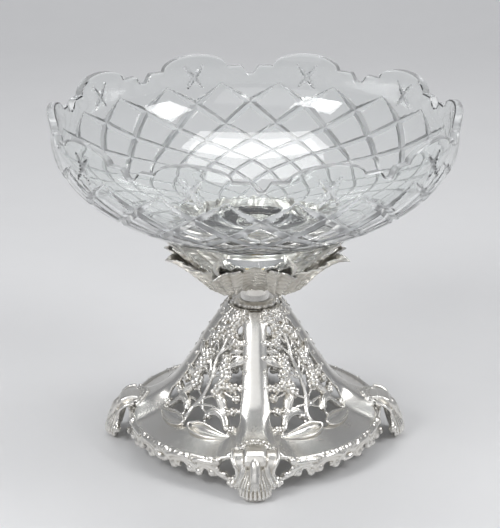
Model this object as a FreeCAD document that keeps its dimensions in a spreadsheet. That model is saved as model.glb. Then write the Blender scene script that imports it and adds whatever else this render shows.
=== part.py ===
"""Centrepiece: a cut-glass bowl standing in a leaf cup on a pierced, plated base with four shell feet.

All lengths are millimetres. +Z is up, the origin is on the table under the middle of the base, and the
feet point along +X, +Y, -X and -Y. The pierced faces look along the diagonals between the feet.
"""
import FreeCAD, Part
import Sketcher
import math
import os
from FreeCAD import Matrix, Placement, Vector

# Driving dimensions: name, value and meaning. Lengths in mm, angles in degrees, counts as they are.
SIZES = [
    ("crown_height", 87.0, "table to the flat crown of the base"),
    ("skirt_radius", 75.7, "edge of the base between two feet"),
    ("shell_wall", 2.6, "wall of the base casting"),
    ("rib_proud", 1.0, "how far the crown of a rib stands above its sides"),
    ("opening_foot", 25.5, "table to the lower edge of an opening"),
    ("opening_height", 55.5, "height of an opening"),
    ("opening_low_width", 66.6, "widest part of an opening"),
    ("opening_top_width", 21.0, "width of an opening at its shoulder"),
    ("opening_corner", 8.0, "radius of the lower corners of an opening"),
    ("stem_radius", 1.8, "main stem of the vine"),
    ("twig_radius", 1.35, "side twigs of the vine"),
    ("berry_radius", 2.6, "one berry"),
    ("vine_joint", 0.6, "how far a run of the vine passes its joint, as a share of its radius"),
    ("vine_inset", 1.3, "depth of the stem's centre under the face"),
    ("lip_radius", 2.6, "thickest part of the rolled lip"),
    ("foot_radius", 92.0, "axis of the base to the outermost bead of a foot"),
    ("foot_reach", 10.0, "depth of the fan at the table"),
    ("foot_width", 17.4, "fan of a foot at the table"),
    ("foot_height", 18.5, "table to the top of the fan"),
    ("foot_bead_radius", 1.25, "bead on the rim of a fan"),
    ("volute_width", 12.4, "rounded block over a foot"),
    ("volute_height", 27.2, "table to the top of the block"),
    ("strap_width", 6.4, "strap at each side of the block"),
    ("strap_thickness", 2.8, "strap, front to back"),
    ("strap_gap", 1.3, "gap between the block and a strap"),
    ("knob_radius", 2.7, "curled knob at the end of a strap"),
    ("apron_radius", 74.4, "axis of the base to the middle of the border"),
    ("border_gap_angle", 17.0, "foot to the near end of the border band, seen from the axis"),
    ("apron_depth", 2.8, "border band, front to back"),
    ("apron_band", 7.54, "border band, top to bottom"),
    ("scroll_wire", 1.3, "radius of a border scroll's rod"),
    ("rod_radius", 3.0, "threaded rod"),
    ("rod_clearance", 0.3, "gap round the rod"),
    ("crown_thickness", 3.0, "flat crown that closes the top of the base"),
    ("washer_radius", 9.0, "washer under the crown"),
    ("washer_thickness", 1.2, "washer under the crown"),
    ("nut_size", 10.0, "nut across its flats"),
    ("nut_height", 5.0, "nut along its axis"),
    ("rod_spare", 1.5, "rod that stands out of a nut"),
    ("ring_radius", 13.1, "bead ring at the foot of the collar"),
    ("ring_height", 3.4, "bead ring, top to bottom"),
    ("collar_radius", 8.9, "collar under the leaf cup"),
    ("collar_height", 10.4, "collar, top to bottom"),
    ("collar_waist", 0.7, "hollow of the collar's side"),
    ("leaf_thickness", 1.6, "plate of the leaves"),
    ("leaf_reach", 60.0, "axis to the tip of a large leaf"),
    ("leaf_rise", 27.0, "large leaf, lowest point to tip"),
    ("sepal_reach", 53.5, "axis to the tip of an inner leaf"),
    ("sepal_rise", 29.0, "inner leaf, root to tip"),
    ("dish_radius", 25.0, "rim of the dish that holds the bowl"),
    ("dish_floor_radius", 19.8, "flat floor of the dish"),
    ("dish_thickness", 2.0, "plate of the dish"),
    ("dish_depth", 5.6, "dish, underside to rim"),
    ("pad_thickness", 1.5, "soft ring between glass and dish"),
    ("bowl_rim_radius", 117.0, "bowl at the shoulders of its rim"),
    ("bowl_shoulder_height", 94.6, "foot of the bowl to the shoulders of its rim"),
    ("bowl_lobe_rise", 8.0, "how far the lobes of the rim stand above the shoulders"),
    ("bowl_lobe_flare", 1.6, "how far the lobes lean out"),
    ("bowl_notch_depth", 5.2, "notch between two lobes"),
    ("bowl_wall", 4.9, "glass at the rim"),
    ("bowl_base_thickness", 10.0, "glass over the foot"),
    ("bowl_foot_radius", 19.0, "foot of the bowl"),
    ("bowl_recess_radius", 11.0, "hollow in the bowl's foot, over the nut"),
    ("bowl_recess_depth", 8.0, "hollow in the bowl's foot, over the nut"),
    ("cut_depth", 1.7, "V-shaped cuts in the outer side of the bowl"),
    ("cut_angle", 106.0, "angle between the two sides of a cut"),
    ("cut_count", 20, "cuts that lean one way, with as many the other way"),
    ("lobe_count", 10, "lobes round the rim"),
    ("lobe_half_angle", 10.6, "half of one lobe, seen from the axis"),
    ("notch_half_angle", 2.5, "half of one notch, seen from the axis"),
    ("bowl_turn", 1.4, "turn of the bowl in its cup"),
    ("cut_overrun", 2.0, "how far a cutting solid passes what it cuts"),
]

# Levels, from the table up, as sums of named sizes.
COLLAR_FOOT = "crown_height + ring_height"
LEAF_SEAT = COLLAR_FOOT + " + collar_height"
DISH_SEAT = LEAF_SEAT + " + leaf_thickness"
PAD_SEAT = DISH_SEAT + " + dish_thickness"
BOWL_SEAT = PAD_SEAT + " + pad_thickness"
WASHER_SEAT = "crown_height - crown_thickness - washer_thickness"
NUT_SEAT = WASHER_SEAT + " - nut_height"
ROD_FOOT = NUT_SEAT + " - rod_spare"

QUARTERS = {"right": 0.0, "back": 90.0, "left": 180.0, "front": 270.0}
CORNERS = {"back_right": 45.0, "back_left": 135.0, "front_left": 225.0, "front_right": 315.0}
UP = Vector(0, 0, 1)
ORIGIN = Vector(0, 0, 0)

doc = FreeCAD.newDocument("centrepiece")
sheet = doc.addObject("Spreadsheet::Sheet", "sizes")
for row, (name, value, meaning) in enumerate(SIZES, start=1):
    sheet.set("A%d" % row, name)
    sheet.set("B%d" % row, str(value))
    sheet.set("C%d" % row, meaning)
    sheet.setAlias("B%d" % row, name)
doc.recompute()


def terms(total):
    """Split a sum of named sizes into (sign, name) pairs."""
    pairs = []
    sign = 1
    for word in total.split():
        if word in "+-":
            sign = 1 if word == "+" else -1
        else:
            pairs.append((sign, word))
    return pairs


def size(total):
    """Value of a sum of named sizes."""
    return sum(sign * float(sheet.get(name)) for sign, name in terms(total))


def formula(total):
    """The same sum as an expression on the sheet."""
    words = ["%s sizes.%s" % ("+" if sign > 0 else "-", name) for sign, name in terms(total)]
    return " ".join(words).lstrip("+ ")


def between(pairs, place):
    """Read a table of (place, value) pairs, in rising order, with straight steps."""
    low = pairs[0]
    for high in pairs[1:]:
        if place <= high[0]:
            part = (place - low[0]) / (high[0] - low[0])
            return low[1] + part * (high[1] - low[1])
        low = high
    return pairs[-1][1]


def smooth_step(value):
    """Ease from 0 to 1."""
    held = min(max(value, 0.0), 1.0)
    return held * held * (3 - 2 * held)


def turned(shape, angle):
    """A copy turned about the upright axis."""
    copy = shape.copy()
    copy.rotate(ORIGIN, UP, angle)
    return copy


def add_shape(label, shape):
    """Keep a free-form solid in the document."""
    feature = doc.addObject("Part::Feature", label)
    feature.Shape = shape
    feature.Label = label
    return feature


def curve_through(points, closed=False):
    """Smooth edge through points."""
    curve = Part.BSplineCurve()
    curve.interpolate(points, PeriodicFlag=closed)
    return curve.toShape()


def solid_from(faces):
    """Sew faces into one solid that faces outwards."""
    shell = Part.makeShell(faces)
    shell.sewShape()
    solid = Part.makeSolid(shell)
    if solid.Volume < 0:
        solid.reverse()
    return solid


def surface_over(net):
    """Smooth surface drawn over a net of points, whose corners and borders it keeps."""
    degree = 3
    knots, counts = [], []
    for number in (len(net), len(net[0])):
        spans = number - degree
        knots.append([float(index) for index in range(spans + 1)])
        counts.append([degree + 1] + [1] * (spans - 1) + [degree + 1])
    surface = Part.BSplineSurface()
    surface.buildFromPolesMultsKnots(net, counts[0], counts[1], knots[0], knots[1],
                                     False, False, degree, degree)
    return surface


def plate_between(net, lower_net):
    """Solid between two like nets of points."""
    skins = [surface_over(net), surface_over(lower_net)]
    borders = []
    for skin in skins:
        first_u, last_u, first_v, last_v = skin.bounds()
        borders.append([skin.uIso(first_u).toShape(), skin.uIso(last_u).toShape(),
                        skin.vIso(first_v).toShape(), skin.vIso(last_v).toShape()])
    faces = [skin.toShape() for skin in skins]
    faces += [Part.makeRuledSurface(one, other) for one, other in zip(*borders)]
    return solid_from(faces)


def fuse_all(shapes):
    """One solid from shapes that touch or cross."""
    first, rest = shapes[0], shapes[1:]
    return first.fuse(rest) if rest else first


def largest_solid(shape):
    """The main solid of a shape, without crumbs."""
    return max(shape.Solids, key=lambda solid: solid.Volume)


def turned_body(label, outline):
    """Turned piece: a closed outline of (radius, height) sums of named sizes, revolved about the axis."""
    body = doc.addObject("PartDesign::Body", label)
    sketch = body.newObject("Sketcher::SketchObject", label + "_outline")
    plane = [item for item in body.Origin.OriginFeatures if item.Role == "XZ_Plane"][0]
    sketch.AttachmentSupport = [(plane, "")]
    sketch.MapMode = "FlatFace"
    corners = [Vector(size(across), size(up), 0) for across, up in outline]
    count = len(corners)
    for index in range(count):
        line = Part.LineSegment(corners[index], corners[(index + 1) % count])
        sketch.addGeometry(line, False)
    for index in range(count):
        following = (index + 1) % count
        sketch.addConstraint(Sketcher.Constraint("Coincident", index, 2, following, 1))
    for index, (across, up) in enumerate(outline):
        for kind, total in (("DistanceX", across), ("DistanceY", up)):
            number = sketch.addConstraint(Sketcher.Constraint(kind, -1, 1, index, 1, size(total)))
            sketch.setExpression("Constraints[%d]" % number, formula(total))
    feature = body.newObject("PartDesign::Revolution", label + "_turned")
    feature.Profile = sketch
    feature.ReferenceAxis = (sketch, ["V_Axis"])
    feature.Angle = 360.0
    sketch.Visibility = False
    body.Label = label
    return body


def cylinder(label, radius, height, level):
    """Upright cylinder on a level."""
    item = doc.addObject("Part::Cylinder", label)
    item.setExpression("Radius", formula(radius))
    item.setExpression("Height", formula(height))
    item.setExpression("Placement.Base.z", formula(level))
    return item


def cut_pair(label, base, tool):
    """Base less tool, kept as a feature."""
    item = doc.addObject("Part::Cut", label)
    item.Base = base
    item.Tool = tool
    item.Label = label
    return item


# Base casting: rows of one quarter, from the crown to the skirt. Each row gives shares of the crown
# height and the skirt radius for the middle of a face, then the same for the crest of a rib, then the
# half width of the rib's flat crest and of its whole foot as shares of the skirt radius.
shell_shares = [
    (1.000, 0.196, 1.000, 0.203, 0.058, 0.090),
    (0.966, 0.222, 0.966, 0.244, 0.058, 0.088),
    (0.897, 0.269, 0.897, 0.301, 0.062, 0.088),
    (0.805, 0.334, 0.805, 0.367, 0.065, 0.089),
    (0.730, 0.390, 0.730, 0.416, 0.067, 0.091),
    (0.652, 0.444, 0.652, 0.466, 0.069, 0.094),
    (0.569, 0.495, 0.569, 0.532, 0.071, 0.100),
    (0.500, 0.538, 0.500, 0.587, 0.074, 0.110),
    (0.425, 0.590, 0.435, 0.645, 0.076, 0.128),
    (0.338, 0.655, 0.372, 0.735, 0.084, 0.160),
    (0.288, 0.738, 0.335, 0.810, 0.100, 0.210),
    (0.247, 0.852, 0.314, 0.868, 0.116, 0.262),
    (0.2115, 1.000, 0.304, 0.922, 0.132, 0.310),
]


def shell_row(share, inward):
    """One row of points over a quarter of the base, moved along the face's normal by inward."""
    face_up, face_out, rib_up, rib_out, crest, foot = share
    index = shell_shares.index(share)
    before = shell_shares[max(index - 1, 0)]
    after = shell_shares[min(index + 1, len(shell_shares) - 1)]
    height, radius = size("crown_height"), size("skirt_radius")
    run, rise = (after[1] - before[1]) * radius, (before[0] - after[0]) * height
    length = math.hypot(run, rise)
    is_crown = index == 0
    shift_out = -inward if is_crown else -inward * rise / length
    shift_up = 0.0 if is_crown else -inward * run / length
    half_crest, half_foot = crest * radius, foot * radius
    places = [0.0, 0.5 * half_crest, half_crest, 0.5 * (half_crest + half_foot), half_foot]
    face_radius = face_out * radius
    foot_angle = math.asin(half_foot / face_radius)
    quarter_turn = math.pi / 4
    steps = [foot_angle + part * (quarter_turn - foot_angle) for part in (1 / 3, 2 / 3, 1)]
    squared = math.cos(quarter_turn - steps[1])
    half_row = []
    for place in places:
        blend = 1 - smooth_step((place - half_crest) / (half_foot - half_crest))
        crown = size("rib_proud") * (1 - (place / half_foot) ** 2) * blend
        outer = face_radius + blend * (rib_out * radius - face_radius) + crown
        level = (face_up + blend * (rib_up - face_up)) * height
        out = math.sqrt(outer ** 2 - place ** 2) + shift_out
        half_row.append(Vector(out, place * (outer + shift_out) / outer, level + shift_up))
    for angle in steps:
        out = face_radius + shift_out
        if angle == steps[1]:
            out /= squared
        half_row.append(Vector(out * math.cos(angle), out * math.sin(angle), face_up * height + shift_up))
    mirrored = [Vector(point.x, -point.y, point.z) for point in reversed(half_row[1:])]
    return mirrored + half_row


def opening_outline():
    """Closed wire of one opening, seen square on: across is X, height is Y."""
    foot = size("opening_foot")
    top = size("opening_foot + opening_height")
    low_half = 0.5 * size("opening_low_width")
    top_half = 0.5 * size("opening_top_width")
    corner = size("opening_corner")
    shoulder = top - 0.5 * size("opening_corner")
    low_level = foot + corner
    inset = corner * (1 - math.cos(math.pi / 4))
    low_mid = Vector(low_half - inset, foot + inset, 0)
    right = [Vector(low_half - corner, foot, 0), low_mid, Vector(low_half, low_level, 0)]
    left = [Vector(-point.x, point.y, 0) for point in reversed(right)]
    right_top, left_top = Vector(top_half, shoulder, 0), Vector(-top_half, shoulder, 0)
    edges = [
        Part.makeLine(left[-1], right[0]),
        Part.Arc(*right).toShape(),
        Part.makeLine(right[-1], right_top),
        Part.Arc(right_top, Vector(0, top, 0), left_top).toShape(),
        Part.makeLine(left_top, left[0]),
        Part.Arc(*left).toShape(),
    ]
    return Part.Wire(edges)


def face_frame(angle):
    """Placement that stands the X-Y plane upright, square to the direction at an angle."""
    turn = math.radians(angle)
    across = Vector(-math.sin(turn), math.cos(turn), 0)
    out = Vector(math.cos(turn), math.sin(turn), 0)
    return frame_at(across, UP, out, ORIGIN)


def frame_at(across, up, out, place):
    """Placement with the given axes and origin."""
    return Placement(Matrix(
        across.x, up.x, out.x, place.x,
        across.y, up.y, out.y, place.y,
        across.z, up.z, out.z, place.z,
        0, 0, 0, 1))


def placed(shape, placement):
    """A copy moved by a placement."""
    copy = shape.copy()
    copy.Placement = placement.multiply(copy.Placement)
    return copy


def shell_quarter():
    """One quarter of the base casting, with a rib in its middle and half an opening at each side."""
    outer = [shell_row(share, 0.0) for share in shell_shares]
    inner = [shell_row(share, size("shell_wall")) for share in shell_shares]
    quarter = plate_between(outer, inner)
    reach = size("foot_radius")
    blank = Part.Face(opening_outline())
    for angle in (-45.0, 45.0):
        tool = blank.extrude(Vector(0, 0, reach))
        quarter = quarter.cut(placed(tool, face_frame(angle)))
    return quarter


def base_shell():
    """The whole base casting: four quarters and the flat crown with a hole for the rod."""
    quarter = shell_quarter()
    quarters = [turned(quarter, angle) for angle in QUARTERS.values()]
    top = size("crown_height")
    mid_wall = 0.5 * size("shell_wall")
    crown_radius = shell_shares[0][1] * size("skirt_radius") - mid_wall
    low_radius = shell_shares[1][1] * size("skirt_radius") - mid_wall
    thickness = size("crown_thickness")
    crown = Part.makeCone(low_radius, crown_radius, thickness, Vector(0, 0, top - thickness))
    whole = fuse_all(quarters + [crown])
    bore_radius = size("rod_radius + rod_clearance")
    overrun = size("cut_overrun")
    bore = Part.makeCylinder(bore_radius, thickness + 2 * overrun, Vector(0, 0, top - thickness - overrun))
    return largest_solid(whole.cut(bore).removeSplitter())


def face_radius_at(height):
    """Radius of the face's middle at a height."""
    rows = [(share[0] * size("crown_height"), share[1] * size("skirt_radius")) for share in shell_shares]
    return between(sorted(rows), height)


def face_point(across_share, up_share, inset):
    """Point of the pierced face at 45 degrees, from shares of the opening's half width and height."""
    height = size("opening_foot") + up_share * size("opening_height")
    low_half, top_half = 0.5 * size("opening_low_width"), 0.5 * size("opening_top_width")
    half = low_half + up_share * (top_half - low_half)
    across = across_share * half
    out = math.sqrt(face_radius_at(height) ** 2 - across ** 2) - inset
    return face_frame(45.0).multVec(Vector(across, height, out))


# Vine, as shares of the opening's half width and height: the main stem, then one side's twigs and
# berries. The other side is the mirror image.
stem_shares = [(0.00, -0.02), (-0.03, 0.10), (0.02, 0.33), (-0.02, 0.57), (0.02, 0.74), (0.00, 1.02)]
twig_shares = [
    [(-0.03, 0.08), (0.16, 0.17), (0.36, 0.17), (0.55, 0.11)],
    [(-0.02, 0.20), (0.16, 0.22), (0.36, 0.27)],
    [(0.00, 0.45), (0.14, 0.54), (0.32, 0.64), (0.58, 0.66)],
    [(0.01, 0.66), (0.16, 0.76), (0.36, 0.81)],
    [(0.56, 0.40), (0.50, 0.28), (0.58, 0.14)],
    [(0.30, 0.60), (0.42, 0.52), (0.56, 0.40)],
    [(0.56, 0.40), (0.78, 0.40), (1.03, 0.39)],
    [(0.36, 0.81), (0.68, 0.82), (1.05, 0.84)],
    [(0.58, 0.66), (0.80, 0.64), (1.03, 0.67)],
    [(0.55, 0.11), (0.70, 0.05), (0.78, -0.02)],
    [(0.50, 0.28), (0.78, 0.24), (1.03, 0.22)],
    [(0.02, 0.90), (0.28, 0.92), (0.50, 0.97), (0.80, 1.04)],
]
berry_shares = [
    (0.40, 0.945), (0.30, 0.80), (0.56, 0.82), (0.84, 0.835), (0.22, 0.58), (0.35, 0.56), (0.46, 0.48),
    (0.56, 0.41), (0.72, 0.40), (0.88, 0.395), (0.53, 0.33), (0.57, 0.15), (0.64, 0.655), (0.66, 0.07),
]


def berry(radius, centre, turn):
    """Faceted berry with eight sides, turned a little from its neighbours."""
    faces = []
    for one in (-radius, radius):
        for other in (-radius, radius):
            for third in (-radius, radius):
                corners = [Vector(one, 0, 0), Vector(0, other, 0), Vector(0, 0, third)]
                faces.append(Part.Face(Part.makePolygon(corners + corners[:1])))
    solid = solid_from(faces)
    skew_axis = Vector(1, 2, 3)
    solid.rotate(ORIGIN, skew_axis, turn)
    solid.translate(centre)
    return solid


def rod_along(points, radius):
    """Three-sided rod of straight runs. Each run passes its joint a little, so that none is left open."""
    sides = 3
    pieces = []
    for start, end in zip(points, points[1:]):
        along = (end - start).normalize()
        across = along.cross(UP).normalize()
        other = along.cross(across)
        ring = []
        for index in range(sides + 1):
            turn = 2 * math.pi * (index % sides) / sides
            ring.append(start + (across * math.cos(turn) + other * math.sin(turn)) * radius)
        run = end - start + along * radius * size("vine_joint")
        pieces.append(Part.Face(Part.makePolygon(ring)).extrude(run))
    return pieces


def vine_panel(lip):
    """Cast vine that fills one opening. Its ends lie flat against the walls of the opening."""
    inset = size("vine_inset")
    turn_each = 10
    stems = rod_along([face_point(across, up, inset) for across, up in stem_shares], size("stem_radius"))
    berries = []
    for side in (1, -1):
        for twig in twig_shares:
            points = [face_point(side * across, up, inset) for across, up in twig]
            stems += rod_along(points, size("twig_radius"))
        for across, up in berry_shares:
            centre = face_point(side * across, up, inset)
            berries.append(berry(size("berry_radius"), centre, turn_each * centre.z))
    whole = fuse_all([fuse_all(stems), fuse_all(berries)])
    blank = Part.Face(opening_outline()).extrude(Vector(0, 0, size("foot_radius")))
    kept = whole.common(placed(blank, face_frame(45.0)))
    return largest_solid(kept.cut(lip))


def opening_lip(shell):
    """Rolled lip along the lower edge of an opening, thickest at each side of its middle."""
    # Share of the opening's half width, share of the full radius.
    lip_shares = [(-0.90, 0.32), (-0.62, 0.62), (-0.32, 1.00), (0.00, 0.72),
                  (0.32, 1.00), (0.62, 0.62), (0.90, 0.32)]
    proud_share = 0.2
    thick = size("lip_radius")
    centres = [face_point(across, 0, -proud_share * thick * share) for across, share in lip_shares]
    rings = []
    last = len(centres) - 1
    for index, centre in enumerate(centres):
        along = centres[min(index + 1, last)] - centres[max(index - 1, 0)]
        circle = Part.Circle(centre, along.normalize(), thick * lip_shares[index][1])
        rings.append(Part.Wire(circle.toShape()))
    return largest_solid(Part.makeLoft(rings, True).cut(shell))


def block_profile(points):
    """Face in the X-Z plane through smooth points, closed by a straight edge."""
    curve = curve_through(points)
    closing = Part.makeLine(points[-1], points[0])
    return Part.Face(Part.Wire([curve, closing]))


def volute_bracket(shell):
    """Casting over one foot: a rounded block between two straps that end in knobs. Foot along +X."""
    top, edge = size("volute_height"), size("skirt_radius")
    nose_shares = [(0.87, 0.62), (0.90, 0.94), (0.965, 1.00), (1.045, 0.95), (1.085, 0.80), (1.060, 0.64),
                   (0.985, 0.56)]
    nose = [Vector(out * edge, 0, up * top) for out, up in nose_shares]
    half_block = 0.5 * size("volute_width")
    block = block_profile(nose).extrude(Vector(0, 2 * half_block, 0))
    block.translate(Vector(0, -half_block, 0))
    strap_shares = [(0.90, 0.90), (0.985, 0.93), (1.035, 0.78), (1.030, 0.52), (1.045, 0.24)]
    thickness, width = size("strap_thickness"), size("strap_width")
    front = [Vector(out * edge, 0, up * top) for out, up in strap_shares]
    back = []
    last = len(front) - 1
    for index, point in enumerate(front):
        along = (front[min(index + 1, last)] - front[max(index - 1, 0)]).normalize()
        back.append(point + Vector(along.z, 0, -along.x) * thickness)
    strap_face = Part.Face(Part.Wire([
        curve_through(front), Part.makeLine(front[-1], back[-1]),
        curve_through(back), Part.makeLine(back[0], front[0])]))
    pieces = [block]
    strap_start = half_block + size("strap_gap")
    knob = size("knob_radius")
    for side in (1, -1):
        strap = strap_face.extrude(Vector(0, side * width, 0))
        strap.translate(Vector(0, side * strap_start, 0))
        centre = Vector(front[-1].x - 0.5 * thickness, side * (strap_start + 0.5 * width), front[-1].z)
        pieces += [strap, Part.makeSphere(knob, centre)]
    # Web behind block and straps: back and front as shares of the skirt radius, foot and top as shares
    # of the block's top.
    web_shares = [(0.855, 1.010), (0.500, 0.800)]
    (near, far), (foot, head) = [(low * full, high * full) for (low, high), full
                                 in zip(web_shares, (edge, top))]
    span = 2 * (strap_start + 0.5 * width)
    web = Part.makeBox(far - near, span, head - foot, Vector(near, -0.5 * span, foot))
    whole = fuse_all(pieces + [web])
    return largest_solid(whole.cut(shell))


def shell_foot(bracket):
    """Fluted fan that stands on the table under one bracket. Foot along +X."""
    fan_shares = [(0.00, 0.00, 0.94, 0.92), (0.09, 0.00, 1.00, 1.00), (0.24, 0.06, 0.80, 0.86),
                  (0.55, 0.28, 0.56, 0.62), (1.00, 0.62, 0.44, 0.50)]
    height, reach, half = size("foot_height"), size("foot_reach"), 0.5 * size("foot_width")
    back = size("foot_radius - foot_reach")
    flutes, steps_each, flute_share = 9, 4, 0.06
    steps = steps_each * flutes
    wires = []
    for up, lean, deep, wide in fan_shares:
        arc = []
        base = back - lean * reach
        for step in range(steps + 1):
            turn = math.pi * (step / steps - 0.5)
            swell = 1 - flute_share * abs(math.sin(flutes * turn))
            arc.append(Vector(base + reach * deep * swell * math.cos(turn),
                              half * wide * swell * math.sin(turn), up * height))
        wires.append(Part.Wire([curve_through(arc), Part.makeLine(arc[-1], arc[0])]))
    pieces = [Part.makeLoft(wires, True)]
    bead = size("foot_bead_radius")
    for index in range(flutes):
        turn = math.pi * ((index + 0.5) / flutes - 0.5)
        place = Vector(back + (reach - bead) * math.cos(turn), (half - bead) * math.sin(turn), 2 * bead)
        pieces.append(Part.makeSphere(bead, place))
    return largest_solid(fuse_all(pieces).cut(bracket))


def scroll(start, sweep, radius, wire):
    """Scroll in the X-Y plane: part of a ring with a round knob at each end."""
    knob = 1.25 * wire
    ring = Part.makeTorus(radius, wire, ORIGIN, UP, 0, 360, sweep)
    ring.rotate(ORIGIN, UP, start)
    ends = []
    for angle in (start, start + sweep):
        turn = math.radians(angle)
        ends.append(Part.makeSphere(knob, Vector(radius * math.cos(turn), radius * math.sin(turn), 0)))
    return fuse_all([ring] + ends)


def on_border(shape, angle, height):
    """Move a shape from the X-Y plane to the border, at an angle round the base and a height."""
    turn = math.radians(angle)
    out = Vector(math.cos(turn), math.sin(turn), 0)
    across = Vector(-math.sin(turn), math.cos(turn), 0)
    place = out * size("apron_radius")
    place.z = height
    return placed(shape, frame_at(across, UP, out, place))


def apron(shell, brackets):
    """Border casting between the feet at 0 and 90 degrees: a band with arches and scrolls."""
    band_top = shell_shares[-1][0] * size("crown_height")
    depth, band, radius = size("apron_depth"), size("apron_band"), size("apron_radius")
    wire = size("scroll_wire")
    start = size("border_gap_angle")
    quarter = math.degrees(math.pi / 2)
    sweep = quarter - 2 * start
    low = Vector(0, 0, band_top - band)
    disc = Part.makeCylinder(radius + 0.5 * depth, band, low, UP, sweep)
    hole = Part.makeCylinder(radius - 0.5 * depth, band, low, UP, sweep)
    # Angle from the nearer foot, then shares of the band's top edge: height of the middle and radius;
    # then the start and the sweep of the scroll, and whether the band is cut away under it.
    scroll_shares = [(13.8, 0.780, 0.375, 150.0, 230.0, False), (21.9, 0.500, 0.305, -25.0, 230.0, True),
                     (33.3, 0.420, 0.395, -20.0, 220.0, True)]
    middle_up, middle_radius = 0.60, 0.25
    rings, arches = [], []
    for angle, up, share, first, turn, is_arch in scroll_shares:
        ring = scroll(first, turn, share * band_top, wire)
        rings.append(on_border(ring, angle, up * band_top))
        rings.append(on_border(ring.mirror(ORIGIN, Vector(1, 0, 0)), quarter - angle, up * band_top))
        if is_arch:
            arches += [(angle, up, share), (quarter - angle, up, share)]
    arches.append((0.5 * quarter, middle_up, middle_radius))
    cutters = []
    for angle, up, share in arches:
        arch = Part.makeCylinder(share * band_top, 2 * depth, Vector(0, 0, -depth))
        cutters.append(on_border(arch, angle, up * band_top))
    plate = turned(disc.cut(hole), start).cut(cutters)
    knob_share, apart_share = 1.3, 1.9
    knob = Part.makeSphere(knob_share * wire, ORIGIN)
    apart = math.degrees(apart_share * wire / radius)
    knobs = [on_border(knob, 0.5 * quarter + side * apart, band_top - wire) for side in (-1, 1)]
    whole = fuse_all([plate] + rings + knobs).cut([shell] + brackets)
    return largest_solid(whole)


def leaf_plate(outline, level_at, reach):
    """Leaf of even thickness: a smooth sheet over a grid, trimmed to an outline seen from above."""
    rows, columns = 17, 9
    root_share, tip_share, side_share = 0.9, 1.02, 1.05
    start = root_share * min(point[0] for point in outline)
    half = side_share * max(abs(point[1]) for point in outline)
    thickness = size("leaf_thickness")
    grids = {0.0: [], thickness: []}
    for row in range(rows):
        out = start + (tip_share * reach - start) * row / (rows - 1)
        for lift, grid in grids.items():
            line = []
            for column in range(columns):
                across = half * (2.0 * column / (columns - 1) - 1)
                line.append(Vector(out, across, level_at(out, across) + lift))
            grid.append(line)
    plate = plate_between(grids[thickness], grids[0.0])
    points = [Vector(out, across, 0) for out, across in outline]
    points += [Vector(out, -across, 0) for out, across in reversed(outline) if across > 0]
    stencil = Part.Face(Part.makePolygon(points + [points[0]])).extrude(Vector(0, 0, size("crown_height")))
    stencil.translate(Vector(0, 0, size("crown_height")))
    return largest_solid(plate.common(stencil))


def large_leaf(dish, collar):
    """One of four broad leaves, from the collar outwards, along +X."""
    reach, rise, seat = size("leaf_reach"), size("leaf_rise"), size(LEAF_SEAT)
    profile_shares = [(0.00, 0.104), (0.22, 0.104), (0.28, 0.030), (0.33, 0.000), (0.40, 0.015),
                      (0.52, 0.205), (0.71, 0.555), (0.88, 0.850), (1.00, 1.000), (1.40, 1.35)]
    low = seat - profile_shares[0][1] * rise
    curl, curl_half, curl_start = 0.10 * rise, 0.45 * reach, 0.4

    def level_at(out, across):
        radius = math.hypot(out, across)
        level = low + rise * between(profile_shares, radius / reach)
        begun = smooth_step(out / reach / curl_start - curl_start)
        return level + curl * (across / curl_half) ** 2 * begun

    outline_shares = [(0.075, 0.045), (0.17, 0.09), (0.28, 0.17), (0.40, 0.29), (0.53, 0.37), (0.62, 0.36),
                      (0.72, 0.45), (0.79, 0.33), (0.85, 0.20), (0.93, 0.19), (0.92, 0.08), (1.00, 0.00)]
    outline = [(out * reach, across * reach) for out, across in outline_shares]
    return largest_solid(leaf_plate(outline, level_at, reach).cut([dish, collar]))


def inner_leaf(dish):
    """One of four upright leaves between the broad ones, from the rim of the dish, along +X."""
    reach, rise = size("sepal_reach"), size("sepal_rise")
    sunk_share = 0.1
    low = size(DISH_SEAT) + sunk_share * size("dish_depth")
    root = size("dish_floor_radius")

    def level_at(out, across):
        radius = math.hypot(out, across)
        return low + rise * (radius - root) / (reach - root)

    outline_shares = [(0.39, 0.10), (0.50, 0.20), (0.62, 0.34), (0.74, 0.40), (0.78, 0.30), (0.88, 0.27),
                      (0.87, 0.13), (1.00, 0.00)]
    outline = [(out * reach, across * reach) for out, across in outline_shares]
    return largest_solid(leaf_plate(outline, level_at, reach).cut(dish))


# Outer side of the bowl: shares of the rim radius and of the shoulder height, from the foot up.
bowl_shares = [(0.210, 0.232), (0.295, 0.265), (0.489, 0.339), (0.663, 0.439), (0.824, 0.561),
               (0.940, 0.709), (0.994, 0.857), (1.000, 1.000)]


def bowl_outline():
    """Points of the outer and inner side of the bowl, as (radius, height) in the X-Z plane."""
    rim, shoulder, seat = size("bowl_rim_radius"), size("bowl_shoulder_height"), size(BOWL_SEAT)
    outer = [Vector(out * rim, 0, seat + up * shoulder) for out, up in bowl_shares]
    top = seat + shoulder + size("bowl_lobe_rise")
    outer.append(Vector(rim + size("bowl_lobe_flare"), 0, top))
    wall, base = size("bowl_wall"), size("bowl_base_thickness")
    inner = []
    for index in range(1, len(outer)):
        before = outer[index - 1]
        after = outer[min(index + 1, len(outer) - 1)]
        run = after - before
        share = min(outer[index].x / rim, 1.0)
        thick = wall + (base - wall) * (1 - share) ** 1.5
        inward = Vector(-run.z, 0, run.x).normalize()
        inner.append(outer[index] + inward * thick)
    inner[-1] = Vector(inner[-1].x, 0, top)
    return outer, inner


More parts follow.
